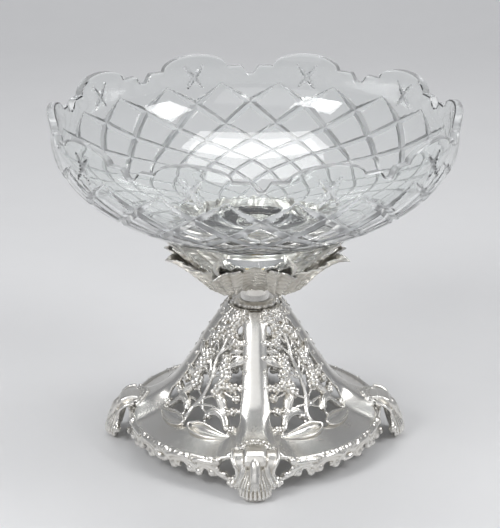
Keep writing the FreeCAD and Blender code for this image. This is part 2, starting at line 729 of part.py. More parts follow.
def rim_cutter():
    """Cuts the rim between two lobes: a radial prism with a lobe's half ellipse at each side."""
    rim, level = size("bowl_rim_radius"), size(BOWL_SEAT + " + bowl_shoulder_height")
    pitch = math.pi / size("lobe_count")
    lobe_half = math.radians(size("lobe_half_angle"))
    notch_half = math.radians(size("notch_half_angle"))
    rise, drop = size("bowl_lobe_rise"), size("bowl_notch_depth")
    peak = rim * math.sin(pitch)
    foot = rim * math.sin(pitch - lobe_half)
    notch = rim * math.sin(notch_half)
    over = level + rise + size("cut_overrun")
    ellipse = Part.Ellipse(Vector(peak, level, 0), peak - foot, rise)
    right = Part.ArcOfEllipse(ellipse, 0.5 * math.pi, math.pi).toShape()
    left = right.mirror(ORIGIN, Vector(1, 0, 0))
    bottom_share, flank_share = 0.42, 0.82
    bottom, flank = bottom_share * notch, flank_share * drop
    corners = [Vector(foot, level, 0), Vector(notch, level, 0), Vector(bottom, level - flank, 0)]
    mirrored = [Vector(-point.x, point.y, 0) for point in reversed(corners)]
    edges = [
        right,
        Part.makeLine(corners[0], corners[1]),
        Part.makeLine(corners[1], corners[2]),
        Part.Arc(corners[2], Vector(0, level - drop, 0), mirrored[0]).toShape(),
        Part.makeLine(mirrored[0], mirrored[1]),
        Part.makeLine(mirrored[1], mirrored[2]),
        left,
        Part.makeLine(Vector(-peak, level + rise, 0), Vector(-peak, over, 0)),
        Part.makeLine(Vector(-peak, over, 0), Vector(peak, over, 0)),
        Part.makeLine(Vector(peak, over, 0), Vector(peak, level + rise, 0)),
    ]
    blank = Part.Face(Part.Wire(Part.__sortEdges__(edges)))
    blank.translate(Vector(0, 0, 0.5 * rim))
    return blank.extrude(Vector(0, 0, rim))


# One cut, from the rim down: place as a count of crossings, height as a share of the bowl's shoulder and
# depth as a share of the full depth. Ends with a negative depth run out of the glass.
cut_shares = [(0.15, 0.860, -0.1), (0.90, 0.760, 1.0), (2.00, 0.619, 1.0), (3.00, 0.538, 1.0),
              (4.00, 0.486, -0.1)]


def lattice_cutter(profile, lean):
    """One V-shaped cut that winds down the side of the bowl, as a closed body of flat faces."""
    seat, shoulder = size(BOWL_SEAT), size("bowl_shoulder_height")
    pitch = math.pi / size("cut_count")
    slope_share = 0.01
    rise = slope_share * shoulder
    places, normals = [], []
    for crossing, up, deep in cut_shares:
        level = seat + up * shoulder
        turn = lean * (1 - crossing) * pitch
        radius = between(profile, level)
        slope = (between(profile, level + rise) - between(profile, level - rise)) / (2 * rise)
        normals.append(Vector(math.cos(turn), math.sin(turn), -slope).normalize())
        places.append(Vector(radius * math.cos(turn), radius * math.sin(turn), level))
    over = size("cut_overrun")
    spread = math.tan(0.5 * math.radians(size("cut_angle")))
    rings = []
    last = len(places) - 1
    for index, place in enumerate(places):
        along = places[min(index + 1, last)] - places[max(index - 1, 0)]
        across = normals[index].cross(along).normalize()
        deep = cut_shares[index][2] * size("cut_depth")
        half = (deep + over) * spread
        top = place + normals[index] * over
        rings.append([place - normals[index] * deep, top + across * half, top - across * half])
    triangles = [rings[0], rings[-1]]
    for one, other in zip(rings, rings[1:]):
        for index in range(len(one)):
            triangles.append([one[index - 1], one[index], other[index]])
            triangles.append([one[index - 1], other[index], other[index - 1]])
    return solid_from([Part.Face(Part.makePolygon(corners + corners[:1])) for corners in triangles])


def glass_bowl():
    """Bowl with a solid foot, hollow under its foot, a rim of lobes and notches, and crossing cuts."""
    outer, inner = bowl_outline()
    seat = size(BOWL_SEAT)
    foot, recess, depth = size("bowl_foot_radius"), size("bowl_recess_radius"), size("bowl_recess_depth")
    edge_share = 0.25
    floor = Vector(0, 0, inner[0].z - 0.5 * (inner[1].z - inner[0].z))
    inside = Part.BSplineCurve()
    inside.interpolate([floor] + inner, InitialTangent=Vector(1, 0, 0),
                       FinalTangent=inner[-1] - inner[-2])
    corners = [Vector(0, 0, seat + depth), Vector(recess, 0, seat + depth), Vector(recess, 0, seat),
               Vector(foot, 0, seat), Vector(foot, 0, outer[0].z - edge_share * depth), outer[0]]
    edges = [Part.makeLine(start, end) for start, end in zip(corners, corners[1:])]
    edges += [curve_through(outer), Part.makeLine(outer[-1], inner[-1]), inside.toShape(),
              Part.makeLine(floor, corners[0])]
    blank = Part.Face(Part.Wire(Part.__sortEdges__(edges))).revolve(ORIGIN, UP, 360)
    cutter = rim_cutter()
    step = 360.0 / size("lobe_count")
    tools = [placed(cutter, face_frame(90.0 + step * index)) for index in range(int(size("lobe_count")))]
    profile_points = 80
    profile = [(point.z, point.x) for point in curve_through(outer).discretize(profile_points)]
    count = int(size("cut_count"))
    for lean in (1, -1):
        cut = lattice_cutter(profile, lean)
        tools += [turned(cut, 360.0 * index / count) for index in range(count)]
    return turned(largest_solid(blank.cut(tools)), size("bowl_turn"))


def neck_ring():
    """Bead ring between the base and the collar."""
    return turned_body("neck_ring", [
        ("rod_radius + rod_clearance", "crown_height"),
        ("ring_radius", "crown_height"),
        ("ring_radius", COLLAR_FOOT),
        ("rod_radius + rod_clearance", COLLAR_FOOT)])


def neck_collar():
    """Waisted collar that carries the leaf cup."""
    return turned_body("neck_collar", [
        ("rod_radius + rod_clearance", COLLAR_FOOT),
        ("collar_radius", COLLAR_FOOT),
        ("collar_radius - collar_waist", COLLAR_FOOT + " + ring_height"),
        ("collar_radius - collar_waist", LEAF_SEAT + " - ring_height"),
        ("collar_radius", LEAF_SEAT),
        ("rod_radius + rod_clearance", LEAF_SEAT)])


def holder_dish():
    """Shallow dish that holds the foot of the bowl."""
    return turned_body("holder_dish", [
        ("rod_radius + rod_clearance", DISH_SEAT),
        ("dish_floor_radius", DISH_SEAT),
        ("dish_radius", DISH_SEAT + " + dish_depth"),
        ("dish_radius - dish_thickness", DISH_SEAT + " + dish_depth"),
        ("dish_floor_radius - leaf_thickness + strap_gap", PAD_SEAT),
        ("rod_radius + rod_clearance", PAD_SEAT)])


def bowl_pad():
    """Soft ring between the glass foot and the dish."""
    outer = cylinder("pad_blank", "bowl_foot_radius", "pad_thickness", PAD_SEAT)
    inner = cylinder("pad_hole", "bowl_recess_radius", "pad_thickness", PAD_SEAT)
    return cut_pair("bowl_pad", outer, inner)


def centre_rod():
    """Threaded rod that draws dish, leaves, collar and base together."""
    rod_height = ("crown_thickness + washer_thickness + nut_height + rod_spare + ring_height"
                  " + collar_height + leaf_thickness + dish_thickness + nut_height + rod_spare")
    rod = cylinder("centre_rod", "rod_radius", rod_height, ROD_FOOT)
    rod.Label = "centre_rod"
    return rod


def rod_washer():
    """Washer under the crown of the base."""
    disc = cylinder("washer_blank", "washer_radius", "washer_thickness", WASHER_SEAT)
    hole = cylinder("washer_hole", "rod_radius + rod_clearance", "washer_thickness", WASHER_SEAT)
    return cut_pair("rod_washer", disc, hole)


def hex_nut(label, level):
    """Nut on the rod."""
    prism = doc.addObject("Part::Prism", label + "_blank")
    prism.Polygon = 6
    prism.setExpression("Circumradius", "sizes.nut_size / sqrt(3)")
    prism.setExpression("Height", "sizes.nut_height")
    prism.setExpression("Placement.Base.z", formula(level))
    hole = cylinder(label + "_hole", "rod_radius", "nut_height", level)
    return cut_pair(label, prism, hole)


def build():
    """Make every piece and return those that are written out."""
    kept = [neck_ring(), neck_collar(), holder_dish(), bowl_pad(), centre_rod(), rod_washer(),
            hex_nut("base_nut", NUT_SEAT), hex_nut("dish_nut", PAD_SEAT)]
    doc.recompute()
    collar, dish = kept[1].Shape, kept[2].Shape
    shell = base_shell()
    kept.append(add_shape("base_shell", shell))
    lip = opening_lip(shell)
    panel = vine_panel(lip)
    bracket = volute_bracket(shell)
    foot = shell_foot(bracket)
    border = apron(shell, [bracket, turned(bracket, 90.0)])
    broad, upright = large_leaf(dish, collar), inner_leaf(dish)
    for corner, angle in CORNERS.items():
        for label, shape in (("vine_panel", panel), ("opening_lip", lip), ("border", border)):
            kept.append(add_shape("%s_%s" % (label, corner), turned(shape, angle - 45.0)))
        kept.append(add_shape("large_leaf_" + corner, turned(broad, angle)))
    for quarter, angle in QUARTERS.items():
        for label, shape in (("volute_bracket", bracket), ("shell_foot", foot), ("inner_leaf", upright)):
            kept.append(add_shape("%s_%s" % (label, quarter), turned(shape, angle)))
    kept.append(add_shape("glass_bowl", glass_bowl()))
    doc.recompute()
    return kept


pieces = build()
for item in doc.Objects:
    if "Invalid" in item.State or "Error" in item.State:
        raise RuntimeError("%s failed: %s" % (item.Label, item.State))
os.makedirs("parts", exist_ok=True)
for piece in pieces:
    shape = piece.Shape
    if shape.isNull() or not shape.isValid() or shape.Volume <= 0:
        raise RuntimeError("%s is not a sound solid" % piece.Label)
    shape.exportStep(os.path.join("parts", piece.Label + ".step"))
    box = shape.BoundBox
    print("%-28s solids %d volume %9.1f  x %.1f..%.1f  y %.1f..%.1f  z %.1f..%.1f" % (
        piece.Label, len(shape.Solids), shape.Volume,
        box.XMin, box.XMax, box.YMin, box.YMax, box.ZMin, box.ZMax))
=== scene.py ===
"""Looks of the centrepiece: cut glass bowl, leaf cup and pierced, silver-plated base on four shell feet.

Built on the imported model's frame, in metres, +Z up. Shapes are drawn in millimetres and scaled by MM.
"""
import bpy
import bmesh
import math
import numpy as np
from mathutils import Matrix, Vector
from mathutils.bvhtree import BVHTree


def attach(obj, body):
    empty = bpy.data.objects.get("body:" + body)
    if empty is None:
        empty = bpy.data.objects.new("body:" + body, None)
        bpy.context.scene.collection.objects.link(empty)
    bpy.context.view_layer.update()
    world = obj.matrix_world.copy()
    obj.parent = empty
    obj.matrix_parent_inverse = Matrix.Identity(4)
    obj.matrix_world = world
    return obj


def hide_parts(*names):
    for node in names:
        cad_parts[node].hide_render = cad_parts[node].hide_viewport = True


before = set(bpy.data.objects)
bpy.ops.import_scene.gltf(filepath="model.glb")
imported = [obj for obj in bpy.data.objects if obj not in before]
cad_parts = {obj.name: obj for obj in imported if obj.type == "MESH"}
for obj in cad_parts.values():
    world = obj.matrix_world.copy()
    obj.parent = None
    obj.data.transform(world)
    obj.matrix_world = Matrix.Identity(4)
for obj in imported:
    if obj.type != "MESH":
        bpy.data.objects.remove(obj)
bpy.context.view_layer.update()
MM = 0.001
UP = np.array([0.0, 0.0, 1.0])
# Directions of the feet and of the pierced faces, degrees from +X.
QUARTERS = {"right": 0.0, "back": 90.0, "left": 180.0, "front": 270.0}
CORNERS = {"back_right": 45.0, "back_left": 135.0, "front_left": 225.0, "front_right": 315.0}


# Shared curves

def spline(xs, ys):
    """Natural cubic spline through points, as a function of x."""
    xs, ys = np.array(xs, float), np.array(ys, float)
    n = len(xs)
    h = np.diff(xs)
    a = np.zeros((n, n))
    b = np.zeros(n)
    a[0, 0] = a[-1, -1] = 1.0
    for i in range(1, n - 1):
        a[i, i - 1], a[i, i], a[i, i + 1] = h[i - 1], 2 * (h[i - 1] + h[i]), h[i]
        b[i] = 6 * ((ys[i + 1] - ys[i]) / h[i] - (ys[i] - ys[i - 1]) / h[i - 1])
    m = np.linalg.solve(a, b)

    def at(x):
        x = np.asarray(x, float)
        k = np.clip(np.searchsorted(xs, x) - 1, 0, n - 2)
        left, right = x - xs[k], xs[k + 1] - x
        return ((m[k] * right ** 3 + m[k + 1] * left ** 3) / (6 * h[k])
                + (ys[k] / h[k] - m[k] * h[k] / 6) * right
                + (ys[k + 1] / h[k] - m[k + 1] * h[k] / 6) * left)
    return at


def chord(points):
    """Length run along points, up to each of them."""
    return np.concatenate([[0], np.cumsum(np.linalg.norm(np.diff(points, axis=0), axis=1))])


def curve_of(points):
    """Smooth curve through points of any dimension, as a function of 0 to 1 along its chord length."""
    pts = np.array(points, float)
    d = chord(pts)
    d /= d[-1]
    parts = [spline(d, pts[:, i]) for i in range(pts.shape[1])]
    return lambda t: np.stack([p(t) for p in parts], axis=-1)


def unit(vectors):
    """Rows of vectors, each at length 1."""
    return vectors / np.linalg.norm(vectors, axis=-1)[..., None]


def step01(x):
    """Ease from 0 to 1."""
    x = np.clip(x, 0.0, 1.0)
    return x * x * (3 - 2 * x)


# Making pieces

def new_mesh(name, verts, faces, smooth=True, sharp=None):
    """Mesh from millimetre points. sharp is the angle in degrees over which edges stay crisp."""
    mesh = bpy.data.meshes.new(name)
    mesh.from_pydata((np.asarray(verts, float) * MM).tolist(), [], [list(map(int, f)) for f in faces])
    mesh.update()
    mesh.validate()
    if smooth:
        mesh.shade_smooth()
    if sharp:
        mesh.set_sharp_from_angle(angle=math.radians(sharp))
    return mesh


def ring_faces(rows, sides, start=0):
    """Quads between closed rows of vertices."""
    faces = []
    for i in range(rows - 1):
        for j in range(sides):
            a, b = start + i * sides + j, start + i * sides + (j + 1) % sides
            faces.append((a, a + sides, b + sides, b))
    return faces


def add_piece(name, mesh, body, material, replaces, turn=0.0):
    """Link a piece, let it ride on its body and give it its material."""
    obj = bpy.data.objects.new(name, mesh)
    bpy.context.scene.collection.objects.link(obj)
    obj.rotation_euler = (0, 0, math.radians(turn))
    if not mesh.materials:
        mesh.materials.append(material)
    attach(obj, body)
    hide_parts(*replaces)


def add_round(name, mesh, material, node, places, offset=0.0):
    """Four silver pieces of one mesh, one for the CAD node at each named direction."""
    for place, angle in places.items():
        add_piece(name + place, mesh, "stand", material, [node + place], angle + offset)


# Cast shapes from rods, balls and blades

class Lump:
    """Closed shapes that cross each other, merged by a voxel remesh into one cast surface."""

    def __init__(self):
        self.verts, self.faces, self.count = [], [], 0

    def push(self, verts, faces):
        self.verts.append(np.asarray(verts, float))
        self.faces += [tuple(int(i) + self.count for i in f) for f in faces]
        self.count += len(verts)

    def loft(self, rings):
        """Closed body over rings of equal length, capped at both ends."""
        rings = [np.asarray(r, float) for r in rings]
        m = len(rings[0])
        verts = np.concatenate(rings + [rings[0].mean(0)[None], rings[-1].mean(0)[None]])
        faces = []
        for k in range(len(rings) - 1):
            for i in range(m):
                j = (i + 1) % m
                faces.append((k * m + i, k * m + j, (k + 1) * m + j, (k + 1) * m + i))
        first, last = len(rings) * m, len(rings) * m + 1
        for i in range(m):
            j = (i + 1) % m
            faces.append((first, j, i))
            faces.append((last, (len(rings) - 1) * m + i, (len(rings) - 1) * m + j))
        self.push(verts, faces)

    def tube(self, points, radii, sides, samples, flat=1.0):
        """Rod along a smooth curve through points. radii run along it, flat squeezes it in height."""
        share = np.linspace(0, 1, samples)
        line = curve_of(points)(share)
        radii = np.interp(share, np.linspace(0, 1, len(radii)), radii)
        turn = np.arange(sides) * 2 * math.pi / sides
        rings = []
        for p, r, ahead in zip(line, radii, unit(np.gradient(line, axis=0))):
            side = np.cross(ahead, UP)
            if np.linalg.norm(side) < 1e-3:
                side = np.cross(ahead, [1.0, 0.2, 0.1])
            side /= np.linalg.norm(side)
            top = np.cross(side, ahead)
            rings.append(p + r * (np.cos(turn)[:, None] * side + flat * np.sin(turn)[:, None] * top))
        self.loft(rings)

    def ball(self, centre, radius, squash=(1, 1, 1), axes=None, rows=7, sides=10):
        """Ball or egg."""
        centre, squash = np.array(centre, float), np.array(squash, float)
        axes = np.eye(3) if axes is None else np.array(axes, float)
        rings = []
        turn = np.arange(sides) * 2 * math.pi / sides
        for lat in np.linspace(-math.pi / 2 + 0.18, math.pi / 2 - 0.18, rows):
            ring = np.stack([np.cos(turn) * math.cos(lat), np.sin(turn) * math.cos(lat),
                             np.full(sides, math.sin(lat))], 1) * radius * squash
            rings.append(centre + ring @ axes)
        self.loft(rings)

    def mesh(self, name, voxel, rounds, factor=0.5):
        """The merged surface, after some rounds of smoothing."""
        raw = new_mesh(name + "_raw", np.concatenate(self.verts), self.faces, smooth=False)
        obj = bpy.data.objects.new(name + "_raw", raw)
        bpy.context.scene.collection.objects.link(obj)
        remesh = obj.modifiers.new("remesh", "REMESH")
        remesh.mode = "VOXEL"
        remesh.voxel_size = voxel * MM
        relax = obj.modifiers.new("smooth", "SMOOTH")
        relax.iterations, relax.factor = rounds, factor
        graph = bpy.context.evaluated_depsgraph_get()
        made = bpy.data.meshes.new_from_object(obj.evaluated_get(graph))
        bpy.data.objects.remove(obj)
        made.name = name
        made.shade_smooth()
        return made


# The base's surface

CROWN, SKIRT = 87.0, 75.7          # height of the top, radius of the lower edge
# Rows from the top down: height and radius of the face, height and radius of the rib, half width of the rib's
# crest and of its foot. Heights are shares of CROWN, the rest shares of SKIRT.
SHELL = [
    (1.000, 0.196, 1.000, 0.203, 0.058, 0.090),
    (0.966, 0.222, 0.966, 0.244, 0.058, 0.088),
    (0.897, 0.269, 0.897, 0.301, 0.062, 0.088),
    (0.805, 0.334, 0.805, 0.367, 0.065, 0.089),
    (0.730, 0.390, 0.730, 0.416, 0.067, 0.091),
    (0.652, 0.444, 0.652, 0.466, 0.069, 0.094),
    (0.569, 0.495, 0.569, 0.532, 0.071, 0.100),
    (0.500, 0.538, 0.500, 0.587, 0.074, 0.110),
    (0.425, 0.590, 0.435, 0.645, 0.076, 0.128),
    (0.338, 0.655, 0.372, 0.735, 0.084, 0.160),
    (0.288, 0.738, 0.335, 0.810, 0.100, 0.210),
    (0.247, 0.852, 0.314, 0.868, 0.116, 0.262),
    (0.2115, 1.000, 0.304, 0.922, 0.132, 0.310),
]
OPEN_FOOT, OPEN_HEIGHT = 25.5, 55.5
OPEN_LOW, OPEN_TOP = 66.6, 21.0    # widths of the opening at its foot and at its top


def clamped_spline(poles, count=400):
    """Points of the clamped cubic curve over poles."""
    poles = np.array(poles, float)
    n, p = len(poles), 3
    spans = n - p
    knots = np.concatenate([[0] * p, np.arange(spans + 1), [spans] * p]).astype(float)
    u = np.linspace(0, spans - 1e-9, count)
    basis = [np.where((knots[i] <= u) & (u < knots[i + 1]), 1.0, 0.0) for i in range(len(knots) - 1)]
    for k in range(1, p + 1):
        following = []
        for i in range(len(knots) - 1 - k):
            left = knots[i + k] - knots[i]
            right = knots[i + k + 1] - knots[i + 1]
            one = (u - knots[i]) / left * basis[i] if left > 0 else 0 * u
            two = (knots[i + k + 1] - u) / right * basis[i + 1] if right > 0 else 0 * u
            following.append(one + two)
        basis = following
    return np.stack(basis, 1) @ poles


FACE_LINE = clamped_spline([(row[1] * SKIRT, row[0] * CROWN) for row in SHELL])[::-1]


def face_radius(z):
    """Radius of a face's middle at a height."""
    return np.interp(z, FACE_LINE[:, 1], FACE_LINE[:, 0])


def face_point(a, h, out=0.0):
    """Point of the pierced face that looks along 45 degrees: a and h are shares of the opening's half width
    and height, out is millimetres outwards from the face."""
    z = OPEN_FOOT + h * OPEN_HEIGHT
    half = 0.5 * (OPEN_LOW + h * (OPEN_TOP - OPEN_LOW))
    across = a * half
    r = face_radius(z)
    slope = face_radius(z + 0.5) - face_radius(z - 0.5)
    n = math.hypot(1.0, slope)
    r, z = r + out / n, z - out * slope / n
    depth = math.sqrt(max(r * r - across * across, 0.0))
    c = math.sqrt(0.5)
    return np.array([depth * c - across * c, depth * c + across * c, z])


# Materials

class Nodes:
    """Short way to build a node material."""

    def __init__(self, name):
        self.mat = bpy.data.materials.new(name)
        self.mat.use_nodes = True
        self.tree = self.mat.node_tree
        self.bsdf = self.tree.nodes["Principled BSDF"]

    def fixed(self, **values):
        """Constants of the surface, with spaces of the socket names as underscores."""
        for key, value in values.items():
            self.bsdf.inputs[key.replace("_", " ")].default_value = value

    def look(self, base, rough, normal):
        """Link what varies over the surface and hand out the material."""
        for key, value in (("Base Color", base), ("Roughness", rough), ("Normal", normal)):
            self.set(self.bsdf, key, value)
        return self.mat

    def add(self, kind, inputs=None, **settings):
        node = self.tree.nodes.new(kind)
        for key, value in settings.items():
            setattr(node, key, value)
        for key, value in (inputs or {}).items():
            self.set(node, key, value)
        return node

    def set(self, node, key, value):
        socket = node.inputs[key]
        if isinstance(value, bpy.types.NodeSocket):
            self.tree.links.new(value, socket)
        else:
            socket.default_value = value

    def noise(self, scale, detail=4.0, rough=0.55, distortion=0.0, stretch=None):
        coord = self.add("ShaderNodeTexCoord").outputs["Object"]
        if stretch:
            coord = self.add("ShaderNodeMapping", {"Vector": coord, "Scale": stretch}).outputs["Vector"]
        return self.add("ShaderNodeTexNoise", {"Vector": coord, "Scale": scale, "Detail": detail,
                                               "Roughness": rough, "Distortion": distortion}).outputs["Fac"]

    def ramp(self, value, low, high, to_low=0.0, to_high=1.0):
        return self.add("ShaderNodeMapRange", {"Value": value, "From Min": low, "From Max": high,
                                               "To Min": to_low, "To Max": to_high}).outputs["Result"]

    def mix(self, share, one, other):
        node = self.add("ShaderNodeMix", data_type="RGBA")
        for index, value in ((0, share), (6, one), (7, other)):
            if isinstance(value, bpy.types.NodeSocket):
                self.tree.links.new(value, node.inputs[index])
            else:
                node.inputs[index].default_value = value
        return node.outputs[2]

    def math(self, operation, one, other):
        return self.add("ShaderNodeMath", {0: one, 1: other}, operation=operation).outputs[0]

    def bump(self, height, distance, strength=1.0, onto=None):
        inputs = {"Height": height, "Distance": distance, "Strength": strength}
        if onto is not None:
            inputs["Normal"] = onto
        return self.add("ShaderNodeBump", inputs).outputs["Normal"]


# Pairs of colours that a material drifts between.
SILVER = (0.86, 0.845, 0.81, 1), (0.80, 0.775, 0.73, 1)
TARNISH = (0.30, 0.27, 0.22, 1), (0.42, 0.38, 0.31, 1)
CLEAR_GLASS = (0.985, 0.995, 0.99, 1), (0.955, 0.975, 0.97, 1)
# The ground-glass pair also colours the polished rim, where it is a painted highlight line.
GROUND_GLASS_AND_RIM_HIGHLIGHT = (1.0, 1.0, 1.0, 1), (0.90, 0.93, 0.94, 1)
BRASS = (0.72, 0.56, 0.27, 1), (0.58, 0.43, 0.19, 1)
FELT = (0.10, 0.085, 0.07, 1), (0.20, 0.175, 0.15, 1)
PAPER = (0.70, 0.70, 0.705, 1), (0.73, 0.73, 0.735, 1)
GLASS_IOR = 1.53


def silver_material(name, polish, chased=0.0, tarnish=0.40):
    """Old polished silver plate: warm white, hazy wear and dark tarnish in the hollows. polish is the lowest
    roughness, chased the strength of a hammered texture, tarnish the pointiness of fully dark hollows."""
    n = Nodes(name)
    cloud = n.noise(55.0, 5.0, 0.6, 0.4)
    grain = n.noise(900.0, 3.0, 0.6)
    hollow = n.ramp(n.add("ShaderNodeNewGeometry").outputs["Pointiness"], tarnish, 0.505, 1.0, 0.0)
    plate = n.mix(n.ramp(cloud, 0.42, 0.68), *SILVER)
    dark = n.mix(n.ramp(cloud, 0.35, 0.6), *TARNISH)
    rough = n.math("ADD", n.ramp(cloud, 0.3, 0.75, polish, polish + 0.12), n.math("MULTIPLY", hollow, 0.22))
    normal = n.bump(grain, 0.00004, 0.25, n.bump(cloud, 0.00035, 0.35))
    if chased:
        cells = n.add("ShaderNodeTexVoronoi", {"Vector": n.add("ShaderNodeTexCoord").outputs["Object"],
                                               "Scale": 420.0, "Randomness": 0.9}).outputs["Distance"]
        normal = n.bump(cells, 0.0004 * chased, 0.6, normal)
    n.fixed(Metallic=1.0)
    return n.look(n.mix(n.math("MULTIPLY", hollow, 0.85), plate, dark), rough, normal)


def glass_material():
    """Clear glass with a faint cool tint, fire polish and a little dust."""
    n = Nodes("cut_glass")
    cloud = n.noise(26.0, 3.0, 0.5)
    streak = n.noise(160.0, 4.0, 0.6, 0.0, (1.0, 1.0, 0.25))
    n.fixed(IOR=GLASS_IOR, Transmission_Weight=1.0)
    return n.look(n.mix(cloud, *CLEAR_GLASS), n.ramp(streak, 0.58, 0.85, 0.0, 0.06),
                  n.bump(cloud, 0.0003, 0.12))


def cut_facet_and_rim_highlight_material():
    """Satin walls of the cuts: glass with a fine ground grain that scatters the light. On the polished rim
    top and outer bevel the same whitish satin is a painted highlight line.
    """
    n = Nodes("cut_facets_and_rim_highlight")
    grain = n.noise(900.0, 3.0, 0.6)
    cloud = n.noise(60.0, 4.0, 0.6)
    n.fixed(IOR=GLASS_IOR, Transmission_Weight=0.70)
    return n.look(n.mix(cloud, *GROUND_GLASS_AND_RIM_HIGHLIGHT), n.ramp(cloud, 0.3, 0.8, 0.10, 0.30),
                  n.bump(grain, 0.00004, 0.35))


def brass_material():
    """Turned brass with fine rings and slight stain."""
    n = Nodes("brass_turned")
    cloud = n.noise(120.0, 4.0, 0.6)
    coord = n.add("ShaderNodeTexCoord").outputs["Object"]
    rings = n.add("ShaderNodeTexWave", {"Vector": coord, "Scale": 900.0, "Distortion": 0.6, "Detail": 2.0},
                  wave_type="BANDS", bands_direction="Z").outputs["Fac"]
    n.fixed(Metallic=1.0)
    return n.look(n.mix(cloud, *BRASS), n.ramp(cloud, 0.3, 0.7, 0.22, 0.37), n.bump(rings, 0.00008, 0.4))


def felt_material():
    """Soft felt washer."""
    n = Nodes("soft_pad")
    fibre = n.noise(1500.0, 6.0, 0.7, 0.8)
    return n.look(n.mix(fibre, *FELT), n.ramp(fibre, 0.2, 0.8, 0.8, 0.98), n.bump(fibre, 0.0004, 0.8))


silver = silver_material("silver_smooth", 0.18)
silver_cast = silver_material("silver_cast", 0.22, 0.2, 0.455)
silver_leaf = silver_material("silver_leaf", 0.22, 0.35, 0.455)
brass = brass_material()
felt = felt_material()


# Cut-glass bowl

RIM, SHOULDER, LOBE, NOTCH = 117.0, 200.5, 8.0, 5.2      # radius, height, rise of a lobe, depth of a notch
PITCH, LOBE_HALF, NOTCH_HALF = 36.0, 10.6, 2.5           # degrees from lobe to lobe, half widths
BEVEL, WALL_RIM, WALL_MORE = 0.7, 4.9, 5.1               # bevel, glass at the rim, more at the axis
OUTER = [(24.57, 127.85), (34.5, 131.0), (57.2, 138.0), (77.6, 147.4), (96.4, 159.0), (110.0, 173.0),
         (116.3, 187.0), (117.0, 200.5), (118.6, 208.5)]
FOOT = [(21.0, 126.4), (19.4, 124.0), (18.9, 118.0), (19.0, 107.2), (18.3, 105.9), (12.0, 105.9),
        (11.0, 106.6), (11.0, 113.3), (10.4, 113.9), (0.02, 113.9)]
AXIS_GAP = 0.02
BOWL_TURN = 1.4                        # degrees that the bowl stands turned in its cup
STEP, PER, LATTICE = 9.0, 16, 9        # degrees of a lattice step, rows in it, steps down the side
ROW_PLACES = [(0, 189.2), (1, 176.7), (2, 164.5), (3, 156.8), (4, 151.9), (5, 147.5), (6, 143.3),
              (7, 138.6), (8, 134.4), (9, 131.0), (10, 127.85)]
CROSS_LEVEL, CROSS_REACH, CROSS_DEEP = 193.5, 11.5, 1.5
RIM_ROWS, INNER_ROWS = 22, 56
CUT_SEEN = 0.10                        # depth from which a face counts as ground glass
ANGLES = np.arange(40 * PER) * STEP / PER


class Profile:
    """Smooth line of radius and height, run by its length."""

    def __init__(self, points):
        pts = np.array(points)
        self.length = chord(pts)
        self.radius, self.height = spline(self.length, pts[:, 0]), spline(self.length, pts[:, 1])
        self.fine = np.linspace(0, self.length[-1], 4000)

    def at_height(self, z):
        return np.interp(z, self.height(self.fine), self.fine)

    def normal(self, s):
        """Radial and upright part of the outward normal."""
        dr = self.radius(s + 0.05) - self.radius(s - 0.05)
        dz = self.height(s + 0.05) - self.height(s - 0.05)
        n = np.hypot(dr, dz)
        return dz / n, -dr / n


def rim_level(angle):
    """Height of the rim at angles in degrees, counted from a notch."""
    from_notch = np.abs((angle + PITCH / 2) % PITCH - PITCH / 2)
    from_lobe = PITCH / 2 - from_notch
    level = SHOULDER + LOBE * np.sqrt(np.clip(1 - (from_lobe / LOBE_HALF) ** 2, 0, 1))
    notch = np.clip((NOTCH_HALF - from_notch) / NOTCH_HALF, 0, 1)
    return level - NOTCH * np.clip(notch * 1.55, 0, 1) ** 0.8


def family_depth(angle, t, sign):
    """Depth of one family of slanting mitre cuts at an angle in degrees and a lattice row t."""
    rows = [0, 3.5, 5, 9]
    full = np.interp(t, [-0.02, 0.8, 3.2, 4.0, 8.0, 8.9], [0.0, 1.75, 1.75, 0.85, 0.85, 0.0])
    slope = np.interp(t, rows, [1.75, 1.75, 1.0, 0.95]) / np.interp(t, rows, [3.5, 3.5, 2.8, 2.5])
    off = 1 - np.abs((angle / STEP + sign * t + 1) % 2 - 1)
    return np.clip(full - slope * PER * off, 0, None)


def lattice_depth(angle, t):
    """Depth of the crossing cuts, where the deeper one wins."""
    return np.maximum(family_depth(angle, t, 1), family_depth(angle, t, -1))


def cross_depth(angle, z):
    """Small crossed cuts under the middle of each lobe."""
    across = np.radians(angle % PITCH - PITCH / 2) * RIM
    up = z - CROSS_LEVEL
    depth = np.zeros(np.broadcast(across, up).shape)
    for sign in (1, -1):
        along = 0.62 * across * sign + 0.785 * up
        off = np.abs(0.785 * across * sign - 0.62 * up)
        full = CROSS_DEEP * np.clip(1 - (np.abs(along) / CROSS_REACH) ** 1.6, 0, 1)
        depth = np.maximum(depth, full - off * 0.85)
    return depth


def inner_line(outer):
    """Inner side of the glass from the axis up: the outer line moved in by the wall."""
    line = []
    for (r, z), s in list(zip(OUTER, outer.length))[1:]:
        wall = WALL_RIM + WALL_MORE * (1 - np.clip(r / RIM, 0, 1)) ** 1.5
        nr, nz = outer.normal(s)
        line.append((r - nr * wall, z - nz * wall))
    line[-1] = (line[-1][0], SHOULDER + LOBE)
    return [(0.0, line[0][1] - 0.6)] + line


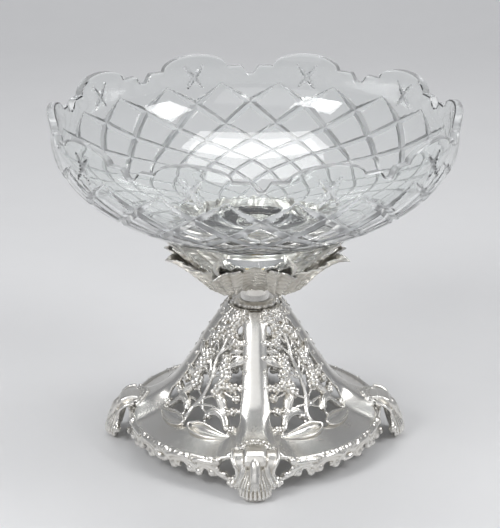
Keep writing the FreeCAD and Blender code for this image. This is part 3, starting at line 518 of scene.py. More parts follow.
def bowl_rings():
    """Rings from the rim down the outer side and up the inner side, and how many of them are outer ones."""
    rad = np.radians(ANGLES + BOWL_TURN - 90.0)
    cos, sin = np.cos(rad), np.sin(rad)
    outer, rings = Profile(OUTER), []

    def ring(r, z):
        rings.append(np.stack([r * cos, r * sin, z + 0 * cos], axis=1))

    def cut_ring(s, depth):
        nr, nz = outer.normal(s)
        ring(outer.radius(s) - nr * depth, outer.height(s) - nz * depth)

    level = rim_level(ANGLES)
    top, start = outer.at_height(level - BEVEL), outer.at_height(ROW_PLACES[0][1])
    for i in range(RIM_ROWS):
        s = top + (start - top) * (i / RIM_ROWS) ** 1.1
        cut_ring(s, cross_depth(ANGLES, outer.height(s)))
    t_rows = np.concatenate([np.arange(LATTICE * PER + 1) / PER, LATTICE + np.linspace(0, 1, 7)[1:]])
    s_rows = np.interp(t_rows, [row for row, z in ROW_PLACES], [outer.at_height(z) for row, z in ROW_PLACES])
    for t, s in zip(t_rows, s_rows):
        cut_ring(s, np.maximum(lattice_depth(ANGLES, t), cross_depth(ANGLES, outer.height(s))))
    for r, z in FOOT:
        ring(r, z)
    outer_rings = len(rings)
    inner = Profile(inner_line(outer))
    inner_top = inner.at_height(level - BEVEL)
    ring(AXIS_GAP, float(inner.height(0.0)))
    for i in range(1, INNER_ROWS + 1):
        s = inner_top * i / INNER_ROWS
        ring(np.clip(inner.radius(s), AXIS_GAP, None), inner.height(s))
    ring(inner.radius(inner_top) + 0.9 * BEVEL, level)
    ring(outer.radius(top) - 0.9 * BEVEL, level)
    return rings, outer_rings


def bowl_faces(rings, outer_rings):
    """Faces of the bowl, and for each whether it takes the satin material: the ground cuts, and the polished
    rim top and outer bevel, where the whitish satin is a painted highlight line. Lattice quads fold along the
    deeper cut.
    """
    columns, total = len(ANGLES), len(rings)
    here = np.arange(columns)
    after = (here + 1) % columns
    centre = ANGLES + 180.0 / columns
    faces, ground_and_painted_rim = [], []
    for k in range(total):
        if k == outer_rings - 1:
            continue                   # the foot and the inside stay apart at the axis
        low, high = k * columns, ((k + 1) % total) * columns
        a, b, c, d = low + here, low + after, high + after, high + here
        row = k - RIM_ROWS
        if 0 <= row < LATTICE * PER:
            t = (row + 0.5) / PER
            first = (family_depth(centre, t, 1) >= family_depth(centre, t, -1))[:, None]
            faces += np.where(first, np.stack([a, d, b], 1), np.stack([a, c, b], 1)).tolist()
            faces += np.where(first, np.stack([b, d, c], 1), np.stack([a, d, c], 1)).tolist()
            ground_and_painted_rim += (lattice_depth(centre, t) > CUT_SEEN).tolist() * 2
            continue
        faces += np.stack([a, d, c, b], 1).tolist()
        if k < RIM_ROWS:
            ground_and_painted_rim += (cross_depth(centre, rings[k][:, 2]) > CUT_SEEN).tolist()
        else:
            # The rim's flat top and outer bevel take the whitish satin as a painted highlight line, though
            # the rim itself is polished.
            ground_and_painted_rim += [k >= total - 2] * columns
    return faces, ground_and_painted_rim


def make_bowl():
    rings, outer_rings = bowl_rings()
    faces, ground_and_painted_rim = bowl_faces(rings, outer_rings)
    mesh = new_mesh("glass_bowl_cut", np.concatenate(rings), faces, sharp=14)
    mesh.materials.append(glass_material())
    mesh.materials.append(cut_facet_and_rim_highlight_material())
    # Material 1 is the ground satin of the cuts and the painted highlight line of the rim.
    mesh.polygons.foreach_set("material_index", np.array(ground_and_painted_rim, dtype=np.int32))
    return mesh


add_piece("cut_glass_bowl", make_bowl(), "bowl", None, ["glass_bowl"])


# Base casting

WALL = 2.6
# Half of an opening's outline, as distance from the face's middle and height.
OPENING = [(0.0, 25.4), (9.0, 25.2), (16.0, 24.6), (21.0, 24.5), (24.6, 25.4), (27.2, 27.0), (28.6, 29.2),
           (29.2, 31.6), (28.7, 34.4), (26.7, 38.0), (23.7, 44.0), (20.7, 51.0), (15.7, 63.0), (10.9, 75.0),
           (9.5, 78.0), (7.4, 79.8), (4.0, 80.8), (0.0, 81.0)]
EDGE_ROOM, SNAP = 1.15, 0.12           # room for the rounded edge, least distance of a point from the cut
EDGE_STEPS, CROWN_SIDES = 6, 96
CROWN_DISC = [(15.0, CROWN), (3.3, CROWN), (3.3, CROWN - 3.0), (16.0, CROWN - 3.0)]


def opening_distance(across, z):
    """Distance from the outline of an opening, in its own plane. Negative inside."""
    half = curve_of(OPENING)(np.linspace(0, 1, 72))
    line = np.concatenate([half, half[-2:0:-1] * [-1, 1]])
    points = np.stack([across, z], -1)[..., None, :]
    start, stop = line, np.roll(line, -1, axis=0)
    run = stop - start
    share = np.clip(((points - start) * run).sum(-1) / (run * run).sum(-1), 0, 1)
    gap = np.linalg.norm(points - start - share[..., None] * run, axis=-1).min(-1)
    crosses = ((start[:, 1] > points[..., 1]) != (stop[:, 1] > points[..., 1]))
    with np.errstate(divide="ignore", invalid="ignore"):
        place = start[:, 0] + (points[..., 1] - start[:, 1]) / (stop[:, 1] - start[:, 1]) * run[:, 0]
    inside = (crosses & (points[..., 0] < place)).sum(-1) % 2 == 1
    return np.where(inside, -gap, gap)


def shell_grid(rows=132, near=26, far=30):
    """Points of the casting's outer side over one quarter, with the rib along +X."""
    even, pick = np.linspace(0, 1, 240), np.linspace(0, 1, rows)
    columns = clamped_spline(SHELL, 240).T
    face_z, face_r, rib_z, rib_r, crest, foot = [np.interp(pick, even, column) for column in columns]
    face_z, rib_z = face_z * CROWN, rib_z * CROWN
    face_r, rib_r, crest, foot = face_r * SKIRT, rib_r * SKIRT, crest * SKIRT, foot * SKIRT

    def at(i, side):
        """Point of row i. side runs from 0 on the rib to 1 at its foot and 2 at the face's middle."""
        p, angle = side * foot[i], None
        if side > 1:
            first = math.asin(min(foot[i] / face_r[i], math.sqrt(0.5)))
            angle = first + (side - 1) * (math.pi / 4 - first)
            p = face_r[i] * math.sin(angle)
        x = np.clip((p - 0.55 * crest[i]) / (1.12 * foot[i] - 0.55 * crest[i]), 0, 1)
        sweep = 1 - x ** 3 * (x * (6 * x - 15) + 10)
        x = p / foot[i]
        dome = 1 - 0.28 * x ** 4 if x < 1 else 0.72 * math.exp(-1.56 * (x - 1) - 9 * (x - 1) ** 2)
        swept = max(step01((37 - face_z[i]) / 9), step01((face_z[i] - 80) / 5))
        blend = dome + swept * (sweep - dome)
        r = face_r[i] + blend * (rib_r[i] - face_r[i]) + (1 - min(x, 1) ** 2) * blend
        z = face_z[i] + blend * (rib_z[i] - face_z[i])
        if angle is None:
            return math.sqrt(r * r - p * p), p, z
        return r * math.cos(angle), r * math.sin(angle), z

    sides = list(np.linspace(0, 1, near)) + list(np.linspace(1, 2, far)[1:])
    half = np.array([[at(i, side) for side in sides] for i in range(rows)])
    return np.concatenate([half[:, :0:-1] * [1, -1, 1], half], axis=1)


def clip_faces(points, gap, faces):
    """Keep the part of each face where gap is positive, with new corners on the line where it is zero."""
    points, cuts, kept = list(points), {}, []

    def corner(i, j):
        key = (min(i, j), max(i, j))
        if key not in cuts:
            share = gap[i] / (gap[i] - gap[j])
            points.append(points[i] + share * (points[j] - points[i]))
            cuts[key] = len(points) - 1
        return cuts[key]

    for face in faces:
        if all(gap[i] <= 0 for i in face):
            continue
        made = []
        for k, i in enumerate(face):
            j = face[(k + 1) % len(face)]
            if gap[i] >= 0:
                made.append(i)
            if gap[i] * gap[j] < 0:
                made.append(corner(i, j))
        if len(made) >= 3:
            kept.append(tuple(made))
    return np.array(points), kept


def boundary_loops(faces):
    """Closed runs of vertices along the free edges of faces."""
    edges = {}
    for face in faces:
        for i, j in zip(face, face[1:] + face[:1]):
            if (j, i) in edges:
                del edges[(j, i)]
            else:
                edges[(i, j)] = True
    following = {}
    for i, j in edges:
        following.setdefault(i, []).append(j)
    loops = []
    while following:
        start = here = next(iter(following))
        loop = []
        while not loop or here != start:
            loop.append(here)
            there = following[here].pop()
            if not following[here]:
                del following[here]
            here = there
        loops.append(loop)
    return loops


def shell_surface():
    """Points and outward normals of the casting's outer side, all round."""
    quarter = shell_grid()
    grids = []
    for k in range(4):
        c, s = math.cos(k * math.pi / 2), math.sin(k * math.pi / 2)
        grids.append((quarter @ np.array([[c, s, 0], [-s, c, 0], [0, 0, 1]]))[:, :-1])
    net = np.concatenate(grids, axis=1)
    around = np.roll(net, -1, axis=1) - np.roll(net, 1, axis=1)
    normal = unit(np.cross(np.gradient(net, axis=0), around))
    normal *= np.sign((normal * (net * [1, 1, 0] + UP)).sum(-1))[..., None]
    return net, normal


def thickened(points, normals, faces):
    """Sheet with an inner side and half-round edges. Edges at the top stay flat for the crown."""
    n = len(points)
    inner = points - normals * WALL
    verts = [points, inner]
    total = faces + [tuple(i + n for i in reversed(face)) for face in faces]
    made = 2 * n
    for loop in boundary_loops(faces):
        m, edge, out = len(loop), points[loop], normals[loop]
        side = unit(np.cross(np.roll(edge, -1, axis=0) - np.roll(edge, 1, axis=0), out))
        reach = 0.5 * WALL * (0.15 if edge[:, 2].mean() > CROWN - 1 else 1.0)
        rings = [loop]
        for k in range(1, EDGE_STEPS):
            turn = math.pi * k / EDGE_STEPS
            verts.append(0.5 * (edge + inner[loop]) + out * 0.5 * WALL * math.cos(turn)
                         + side * reach * math.sin(turn))
            rings.append(list(range(made, made + m)))
            made += m
        rings.append([i + n for i in loop])
        for one, other in zip(rings, rings[1:]):
            for k in range(m):
                j = (k + 1) % m
                total.append((one[k], other[k], other[j], one[j]))
    return np.concatenate(verts), total


def make_shell():
    """Hollow casting with four ribs and four pierced faces, rounded along every edge."""
    net, normal = shell_surface()
    rows, sides = net.shape[:2]
    points = net.reshape(-1, 3)
    angle = np.arctan2(points[:, 1], points[:, 0])
    diagonal = (np.floor(angle / (math.pi / 2)) + 0.5) * (math.pi / 2)
    across = points[:, 1] * np.cos(diagonal) - points[:, 0] * np.sin(diagonal)
    gap = opening_distance(across, points[:, 2]) - EDGE_ROOM
    gap = np.where(np.abs(gap) < SNAP, SNAP * np.sign(gap + 1e-9), gap)
    both = np.concatenate([points, normal.reshape(-1, 3)], axis=1)
    both, faces = clip_faces(both, gap, ring_faces(rows, sides))
    used = sorted({i for face in faces for i in face})
    index = {i: k for k, i in enumerate(used)}
    faces = [tuple(index[i] for i in face) for face in faces]
    verts, faces = thickened(both[used, :3], unit(both[used, 3:]), faces)
    turns = np.arange(CROWN_SIDES) * 2 * math.pi / CROWN_SIDES
    crown = [(r * math.cos(turn), r * math.sin(turn), z) for r, z in CROWN_DISC for turn in turns]
    faces += [face[::-1] for face in ring_faces(len(CROWN_DISC), CROWN_SIDES, len(verts))]
    return new_mesh("pierced_shell", np.concatenate([verts, crown]), faces)


add_piece("pierced_shell", make_shell(), "stand", silver, ["base_shell"])


# Vine in the openings

# Places are shares of the opening's half width and height, sizes are millimetres. Twigs, clusters of berries
# and pods stand on both sides of the stem.
INSET = -1.1                           # the vine's middle, out from the face
STEM = [(-0.12, -0.02), (-0.15, 0.12), (-0.02, 0.25), (0.03, 0.37), (0.03, 0.50), (-0.02, 0.63), (0.06, 0.74),
        (0.07, 0.83), (0.01, 0.94), (0.00, 1.03)]
TWIGS = [
    [(-0.06, 0.19), (0.08, 0.25), (0.34, 0.31)],
    [(-0.10, 0.15), (0.16, 0.19), (0.44, 0.18), (0.66, 0.11), (0.78, 0.00)],
    [(0.03, 0.47), (0.22, 0.58), (0.44, 0.66), (0.70, 0.69), (1.04, 0.68)],
    [(0.03, 0.44), (0.16, 0.47), (0.36, 0.52)],
    [(0.00, 0.66), (0.22, 0.74), (0.44, 0.80)],
    [(0.04, 0.78), (0.18, 0.84), (0.32, 0.87)],
    [(0.36, 0.67), (0.38, 0.55), (0.46, 0.48), (0.36, 0.37), (0.34, 0.31), (0.52, 0.23), (0.54, 0.15)],
    [(0.40, 0.41), (0.66, 0.39), (1.05, 0.40)],
    [(0.30, 0.86), (0.60, 0.81), (1.06, 0.81)],
    [(0.44, 0.66), (0.50, 0.74), (0.46, 0.82)],
    [(0.52, 0.17), (0.76, 0.18), (1.03, 0.20)],
    [(0.40, 0.36), (0.60, 0.32), (1.04, 0.30)],
    [(0.10, 0.95), (0.40, 0.97), (0.76, 1.02), (0.92, 1.07)],
    [(0.07, 0.15), (0.20, 0.12), (0.28, 0.00)],
]
CLUSTERS = [
    (0.08, 0.92, 3.3), (0.30, 0.88, 4.0), (0.48, 0.82, 3.3), (0.67, 0.80, 2.7), (0.87, 0.81, 2.8),
    (0.36, 0.65, 3.4), (0.40, 0.60, 3.7), (0.41, 0.55, 4.1), (0.47, 0.50, 4.0), (0.43, 0.45, 3.4),
    (0.55, 0.40, 3.3), (0.70, 0.39, 3.3), (0.88, 0.40, 3.0), (0.37, 0.38, 3.9), (0.33, 0.33, 4.1),
    (0.78, 0.30, 2.9), (0.62, 0.17, 2.9), (0.76, 0.18, 3.0), (0.91, 0.19, 2.8),
    (0.83, 0.03, 3.2), (0.30, 0.11, 2.7), (0.46, 0.80, 3.2), (0.34, 0.97, 3.7),
    (0.50, 1.01, 3.2), (0.30, 0.93, 3.2), (0.10, 1.01, 3.3),
]
RELIEF = [
    (0.02, 1.03, 2.7), (0.28, 1.03, 2.9), (0.56, 1.04, 2.7), (0.84, 1.05, 2.5), (0.15, 1.08, 2.3),
    (0.46, 1.08, 2.5), (0.76, 1.09, 2.2),
]
RIM_BEADS = [(1.00, 0.68, 2.0), (1.00, 0.81, 2.0), (1.00, 1.01, 2.2), (0.99, 0.55, 1.7),
             (1.00, 0.40, 2.0), (0.98, 0.30, 1.8), (0.97, 0.19, 1.9)]
PODS = [
    ([(0.34, 0.32), (0.48, 0.26), (0.56, 0.17)], (2.4, 3.4, 2.3)),
    ([(0.56, 0.595), (0.76, 0.635), (0.98, 0.68)], (1.8, 3.0, 1.9)),
    ([(0.24, 0.08), (0.33, 0.135), (0.49, 0.155), (0.62, 0.11), (0.70, 0.045)], (1.9, 2.7, 2.9, 2.6, 2.0)),
    ([(0.46, 0.705), (0.64, 0.73), (0.84, 0.735)], (0.8, 1.3, 0.9)),
]


def vine_cluster(lump, rng, centre, outward, size):
    """Bunch of berries: one large ball with small ones crowded over it."""
    outward = outward / np.linalg.norm(outward)
    side = np.cross(UP, outward)
    side /= np.linalg.norm(side)
    top = np.cross(outward, side)
    lump.ball(centre, 0.80 * size, squash=(0.9, 1.0, 1.0), axes=[outward, side, top], rows=8, sides=12)
    start = rng.random() * 6.3
    for ring, (reach, lift, count) in enumerate(((0.70, 0.05, 6), (0.44, 0.58, 4))):
        for i in range(count):
            turn = start + 0.5 * ring + i * 2 * math.pi / count
            away = side * math.cos(turn) + top * math.sin(turn)
            spot = centre + size * (reach * away + (lift + 0.12 * (rng.random() - 0.5)) * outward)
            lump.ball(spot, size * (0.34 + 0.08 * rng.random()), rows=7, sides=11)


def vine_pod(lump, line, radii, side):
    """Fluted bud or curled leaf along a line on the face."""
    out = INSET + 0.9
    points = [face_point(side * a, h, out) for a, h in line]
    lump.tube(points, radii, 16, flat=0.85, samples=24)
    for turn in (-0.75, 0.0, 0.75):
        ridge = []
        for (a, h), r in zip(line, radii):
            up = turn * r * 0.75 / OPEN_HEIGHT
            ridge.append(face_point(side * a, h + up, out + r * (0.80 - 0.25 * abs(turn))))
        lump.tube(ridge, [0.4, 0.7, 0.4], 8, samples=24)
    last, before = [face_point(side * a, h, out + 1.0) for a, h in (line[-1], line[-2])]
    lump.ball(points[-1] + 0.6 * unit(last - before), 1.15 * radii[-1], rows=6, sides=10)


def make_vine():
    lump = Lump()
    rng = np.random.default_rng(7)
    stem = [face_point(a, h, INSET + 0.5) for a, h in STEM]
    lump.tube(stem, [1.55, 1.35, 1.25, 1.15, 1.05], 12, samples=70)
    for side in (1, -1):
        for twig in TWIGS:
            points = [face_point(side * a, h, INSET + 0.3) for a, h in twig]
            lump.tube(points, [0.95, 0.8, 0.9], 10, samples=30)
        for group, lift in ((CLUSTERS, 0.8), (RELIEF, 1.6), (RIM_BEADS, 2.2)):
            for a, h, size in group:
                centre = face_point(side * a, h, INSET + lift)
                vine_cluster(lump, rng, centre, face_point(side * a, h, INSET + lift + 1.0) - centre, size)
        for line, radii in PODS:
            vine_pod(lump, line, radii, side)
    return lump.mesh("vine", 0.38, 1)


add_round("vine_openwork_", make_vine(), silver_cast, "vine_panel_", CORNERS, -45.0)


# Leaf cup

def leaf_faces(rows, columns):
    """Faces of a closed leaf: upper side, lower side and the edge between them."""
    count = rows * columns
    faces = []
    for i in range(rows - 1):
        for j in range(columns - 1):
            a, b = i * columns + j, i * columns + j + 1
            c, d = a + columns, b + columns
            faces.append((a, c, d, b))
            faces.append((a + count, b + count, d + count, c + count))
    border = [i * columns for i in range(rows)] + [(rows - 1) * columns + j for j in range(1, columns)]
    border += [i * columns + columns - 1 for i in range(rows - 2, -1, -1)] + list(range(columns - 2, 0, -1))
    for a, b in zip(border, border[1:] + border[:1]):
        faces.append((a, b, b + count, a + count))
    return faces


def fan_leaf(name, profile, half_angle, tips, belly, belly_width, thick, curl, relief, seed, rows=72,
             columns=97):
    """Veined leaf that spreads like a fan, with its middle along +X. profile is height over radius,
    half_angle degrees over the share along the leaf. tips are share across, reach and lift, with a point at
    every other one. belly adds height over radius in the middle and fades over belly_width degrees."""
    across_tip, reach_tip, lift_tip = np.array(tips).T
    level, spread = spline(*zip(*profile)), spline(*zip(*half_angle))
    start, stop = profile[0][0], profile[-1][0]
    vs = np.linspace(-1, 1, columns)
    phase = np.random.default_rng(seed).normal(0, 1, 2)
    upper, lower = [], []
    for i in range(rows):
        u = i / (rows - 1)
        angle = np.radians(spread(u)) * vs
        reach = np.interp(vs, across_tip, reach_tip)
        r = start + (reach - start) * u
        r = r * (1 + 0.020 * np.sin(r * 1.9) * np.abs(vs) ** 6)
        z = level(np.minimum(r, stop))
        z = z + np.interp(vs, across_tip, lift_tip) * step01((u - 0.55) / 0.45)
        z = z + np.interp(r, *zip(*belly)) * np.exp(-(np.degrees(angle) / belly_width) ** 2)
        z = z + curl * np.abs(vs) ** 2.4 * step01((u - 0.12) / 0.5)
        ribs = np.zeros_like(vs)
        for tip in tips[1::2]:
            ribs += np.exp(-((vs - tip[0]) / (0.035 + 0.05 * u)) ** 2)
        fold = np.cos(np.interp(vs, across_tip, np.arange(len(tips)) * math.pi))
        fade = step01((u - 0.10) / 0.25)
        veins = np.sin(r * 1.55 + 26 * np.abs(vs) + phase[0])
        out = relief * fade * (1.6 * ribs - 0.9 * fold - 0.25) + 0.16 * fade * veins
        out += 0.25 * fade * np.sin(9 * vs + phase[1] + 3 * u)
        inside = np.minimum(r, stop - 0.3)
        slope = (level(inside + 0.3) - level(inside)) / 0.3
        n = np.hypot(1.0, slope)
        half = 0.5 * thick * (1 - 0.45 * u)
        for side, store in ((1, upper), (-1, lower)):
            shift = side * half - out
            moved = r - slope / n * shift
            store.append(np.stack([moved * np.cos(angle), moved * np.sin(angle), z + shift / n], 1))
    verts = np.concatenate([np.array(upper).reshape(-1, 3), np.array(lower).reshape(-1, 3)])
    mesh = new_mesh(name, verts, leaf_faces(rows, columns), sharp=60)
    work = bmesh.new()
    work.from_mesh(mesh)
    bmesh.ops.recalc_face_normals(work, faces=work.faces)
    work.to_mesh(mesh)
    work.free()
    return mesh


LARGE_PROFILE = [(5.5, 101.9), (10.0, 101.9), (13.5, 101.2), (16.5, 99.3), (20.0, 98.0), (25.0, 98.2),
                 (31.0, 102.8), (37.0, 108.6), (42.6, 114.4), (48.0, 119.4), (52.8, 122.9),
                 (57.0, 124.4), (61.0, 125.0)]
LARGE_SPREAD = [(0.0, 20.0), (0.10, 15.0), (0.22, 14.0), (0.33, 20.0), (0.44, 26.0), (0.56, 30.0),
                (0.72, 33.5), (0.88, 36.0), (1.0, 37.0)]
LARGE_TIPS = [(-1.0, 48.0, 0.0), (-0.84, 54.0, 0.6), (-0.72, 49.5, 0.4), (-0.56, 56.5, -2.2),
              (-0.40, 47.5, 0.8), (-0.25, 51.5, 0.6), (-0.12, 47.5, 0.8), (0.0, 52.5, 0.4), (0.12, 47.5, 0.8),
              (0.25, 51.5, 0.6), (0.40, 47.5, 0.8), (0.58, 59.8, -3.4), (0.72, 49.5, 0.4),
              (0.84, 54.0, 0.6), (1.0, 48.0, 0.0)]
INNER_PROFILE = [(8.0, 101.5), (13.0, 101.4), (18.8, 101.5), (22.5, 103.6), (26.6, 107.2), (32.0, 111.6),
                 (38.0, 116.6), (46.0, 123.6), (52.6, 129.4), (56.0, 132.0)]
INNER_SPREAD = [(0.0, 26.0), (0.2, 34.0), (0.38, 43.0), (0.6, 41.0), (0.8, 35.0), (1.0, 28.0)]
INNER_TIPS = [(-1.0, 44.0, 0.6), (-0.80, 51.0, 0.6), (-0.60, 45.5, 0.0), (-0.42, 52.0, 0.4),
              (-0.20, 47.0, 0.0), (0.0, 54.0, 0.6), (0.20, 47.0, 0.0), (0.42, 52.0, 0.4), (0.60, 45.5, 0.0),
              (0.80, 51.0, 0.6), (1.0, 44.0, 0.6)]
LARGE_BELLY = [(10.0, 0.0), (13.5, 0.5), (16.5, 2.2), (20.0, 3.1), (25.0, 2.5), (28.0, 1.4), (31.0, 0.3),
               (37.0, 0.0)]
INNER_BELLY = [(12.0, 0.0), (18.8, 1.0), (22.5, 1.4), (26.6, 0.9), (32.0, 0.0)]
large_leaf = fan_leaf("large_leaf", LARGE_PROFILE, LARGE_SPREAD, LARGE_TIPS, LARGE_BELLY, belly_width=45.0,
                      thick=1.3, curl=4.5, relief=0.42, seed=3)
inner_leaf = fan_leaf("inner_leaf", INNER_PROFILE, INNER_SPREAD, INNER_TIPS, INNER_BELLY, belly_width=24.0,
                      thick=1.1, curl=0.3, relief=0.38, seed=5)
add_round("cup_leaf_", large_leaf, silver_leaf, "large_leaf_", CORNERS)
add_round("cup_inner_leaf_", inner_leaf, silver_leaf, "inner_leaf_", QUARTERS)


# Brackets and feet, drawn along +X

shell_mesh = bpy.data.meshes["pierced_shell"]
shell_tree = BVHTree.FromPolygons([v.co for v in shell_mesh.vertices],
                                  [p.vertices for p in shell_mesh.polygons])

# Block over a foot: distance from the axis, height, half width and thickness along it.
BLOCK = [(66.0, 25.2, 5.4, 2.0), (70.0, 25.9, 6.0, 3.0), (74.0, 26.0, 6.3, 3.8), (77.2, 25.4, 6.5, 4.4),
         (79.8, 24.0, 6.6, 4.6), (81.2, 22.2, 6.6, 4.2), (81.6, 20.6, 6.2, 3.4), (81.4, 19.6, 5.2, 2.0)]
# Strap beside it: distance from the axis, inner side, outer side and height.
STRAP = [(72.0, 5.6, 13.6, 26.2), (76.0, 5.8, 13.9, 25.3), (79.2, 6.0, 13.6, 23.2), (81.0, 6.0, 12.2, 20.4),
         (81.6, 5.8, 10.9, 17.4), (82.0, 5.8, 11.0, 14.6), (82.6, 6.6, 12.4, 12.0), (83.2, 8.0, 13.8, 9.6),
         (83.4, 8.8, 13.6, 7.8)]
# Small balls round the knob at the strap's end: place and radius.
KNOBS = [((83.8, 10.8, 8.8), 1.3), ((83.0, 15.1, 10.2), 1.35), ((84.4, 13.2, 10.4), 1.25)]
BACKING = [(73.0, -11), (75.6, -11), (76.2, -4), (76.2, 4), (75.6, 11), (73.0, 11)]


def rounded_ring(x, z, dx, dz, half, thick):
    """Rounded rectangle across the line at x, z. dx, dz is the outward normal."""
    ring = []
    for i in range(20):
        c, s = math.cos(2 * math.pi * i / 20), math.sin(2 * math.pi * i / 20)
        across = half * math.copysign(abs(c) ** 0.35, c)
        out = 0.5 * thick * math.copysign(abs(s) ** 0.6, s)
        ring.append((x + dx * out, across, z + dz * out))
    return ring


def casting_point(x, y, lift):
    """Point over the outer side of the casting."""
    hit = shell_tree.ray_cast(Vector((x * MM, y * MM, 0.2)), Vector((0, 0, -1)))[0]
    return x, y, (hit.z / MM if hit else 22.0) + lift


def add_block(lump):
    rings = []
    for i, (x, z, half, thick) in enumerate(BLOCK):
        before, after = BLOCK[max(i - 1, 0)], BLOCK[min(i + 1, len(BLOCK) - 1)]
        dx, dz = before[1] - after[1], after[0] - before[0]
        run = math.hypot(dx, dz)
        rings.append(rounded_ring(x, z, dx / run, dz / run, half, thick))
    lump.loft(rings)


def add_strap(lump, side):
    """Hollow-faced strap with a rim, a knob at its end and two folds between it and the foot."""
    rings = []
    for x, near, far, z in curve_of(STRAP)(np.linspace(0, 1, 40)):
        ring = []
        for turn in np.linspace(0, 2 * math.pi, 20, endpoint=False):
            c = math.cos(turn)
            y = 0.5 * (near + far) + 0.5 * (far - near) * c
            ring.append((x + 1.1 * math.sin(turn) - 0.9 * (1 - c * c) + 0.35, side * y, z))
        rings.append(ring)
    lump.loft(rings)
    rim = [(x + 0.5, side * (far - 0.4), z) for x, near, far, z in STRAP]
    lump.tube(rim, [0.9, 1.0, 1.05, 1.0], 10, samples=44)
    lump.ball((82.6, side * 12.7, 9.6), 2.5, squash=(0.9, 1.1, 1.0), rows=9, sides=14)
    for (x, y, z), radius in KNOBS:
        lump.ball((x, side * y, z), radius)
    for start, end in ((5.4, 9.2), (6.9, 10.6)):
        fold = [(80.8, side * start, 20.4), (82.2, side * (start + 0.8), 16.6),
                (83.0, side * (start + 2.2), 12.6), (83.4, side * end, 8.6), (83.0, side * (end + 0.3), 6.0)]
        lump.tube(fold, [0.9, 1.15, 1.3, 1.2, 0.9], 10, samples=30)


def make_bracket():
    """Block and straps over a foot, with a crinkled arc on the casting behind them."""
    lump = Lump()
    add_block(lump)
    for side in (1, -1):
        add_strap(lump, side)
    for i in range(17):
        turn = (i / 16 - 0.5) * 2
        arc = math.cos(turn * 1.4)
        for out, size in ((0.0, 0.95 + 0.3 * (i % 2)), (2.4, 1.15 - 0.3 * (i % 2)), (4.6, 0.9)):
            x, y = 71.6 - 6.6 * arc + out, 12.2 * turn * (1 - 0.02 * out)
            lump.ball(casting_point(x, y, 0.1), size, squash=(1.5, 0.8, 0.9), rows=6, sides=9)
    lump.loft([[(x, y, z) for x, y in BACKING] for z in (14.5, 18.0, 24.0)])
    return lump.mesh("bracket", 0.38, 2)


# Fan of a foot: height, back, front and half width.
FAN = [(21.0, 79.0, 83.4, 4.8), (19.0, 79.4, 84.2, 5.3), (16.6, 80.0, 85.4, 6.0), (14.0, 80.8, 86.9, 6.9),
       (11.0, 81.8, 88.8, 8.1), (8.6, 82.8, 90.0, 8.8), (6.4, 83.6, 90.7, 9.1), (4.6, 84.0, 90.8, 9.0),
       (3.0, 84.4, 90.4, 8.6), (1.4, 84.8, 89.2, 7.6), (0.2, 85.4, 88.4, 6.4)]
FAN_RIBS = 11


def make_shell_foot():
    lump = Lump()
    levels = [-row[0] for row in FAN]
    back, front, half = [spline(levels, [row[k] for row in FAN]) for k in (1, 2, 3)]

    def at(turn, z, out=0.0):
        x0, x1, w = float(back(-z)), float(front(-z)), float(half(-z))
        return x0 + (x1 - x0 + out) * math.cos(turn), (w + out) * math.sin(turn), z

    rings = []
    for z in np.linspace(FAN[0][0], FAN[-1][0], 40):
        ring = [at(math.pi * (j / 72 - 0.5), z, -0.7) for j in range(73)]
        x, y = float(back(-z)) - 1.6, 0.6 * float(half(-z))
        rings.append(ring + [(x, y, z), (x, -y, z)])
    lump.loft(rings)
    for i in range(FAN_RIBS):
        turn = math.pi * ((i + 0.5) / FAN_RIBS - 0.5)
        rib = [at(turn * (0.80 + 0.04 * k), 18.0 - 2.6 * k, -0.25) for k in range(6)]
        lump.tube(rib, [0.45, 0.6, 0.75, 0.85], 10, samples=30)
        lump.ball(at(turn, 3.9, -0.25), 0.95, squash=(1, 1, 1.4), rows=7, sides=10)
    ridge = [(80.4, 0, 22.4), (82.4, 0, 21.0), (84.2, 0, 17.6), (86.4, 0, 13.0), (88.4, 0, 8.0)]
    lump.tube(ridge, [3.2, 3.4, 3.4, 3.2, 2.5], 18, flat=0.9, samples=34)
    for y in (-1.6, 1.6):
        seam = [(85.0, y, 20.0), (87.0, y, 16.6), (89.0, 1.1 * y, 12.0), (90.4, 1.2 * y, 7.6)]
        lump.tube(seam, [0.35, 0.55, 0.55, 0.4], 8, samples=24)
    return lump.mesh("shell_foot", 0.33, 1, 0.4)


bracket, foot = make_bracket(), make_shell_foot()
for quarter, angle in QUARTERS.items():
    here = {quarter: angle}
    add_round("bracket_", bracket, silver_cast, "volute_bracket_", here)
    add_round("fluted_foot_", foot, silver_cast, "shell_foot_", here)


# Scrolled border between two feet

# Places are degrees from a foot and height. A border is the mirror image of itself about 45 degrees.
EDGE_R = 74.6
BAND_TOP = [(8.0, 22.6), (12.0, 21.4), (17.0, 19.8), (24.0, 19.0), (33.0, 18.8), (45.0, 18.6)]
BAND_LOW = [(8.0, 21.0), (12.0, 19.8), (16.2, 18.0), (17.2, 12.0), (18.0, 11.5), (19.5, 14.2), (21.8, 15.0),
            (24.4, 14.2), (26.0, 11.0), (27.2, 10.6), (28.6, 13.6), (31.0, 15.0), (34.5, 15.2), (37.4, 13.8),
            (39.2, 11.4), (40.4, 12.5), (41.5, 16.0), (45.0, 16.4)]
SIDE_ARCH = [(16.4, 18.6), (17.9, 15.6), (17.6, 12.8), (15.2, 10.6), (12.4, 8.6), (10.2, 7.6), (9.2, 7.9)]
ARCHES = [
    [(18.9, 10.6), (17.7, 9.8), (17.3, 11.6), (18.6, 13.9), (21.8, 15.3), (25.0, 13.9), (26.5, 11.2),
     (26.0, 9.4), (24.9, 9.6)],
    [(29.2, 10.8), (28.2, 9.6), (27.3, 10.8), (28.4, 13.6), (31.2, 15.4), (35.0, 15.5), (38.0, 13.8),
     (39.4, 11.4), (38.8, 9.9), (37.7, 10.4)],
]
MIDDLE_ARCH = [(39.6, 12.0), (41.2, 14.2), (43.2, 15.6), (45.0, 15.2)]
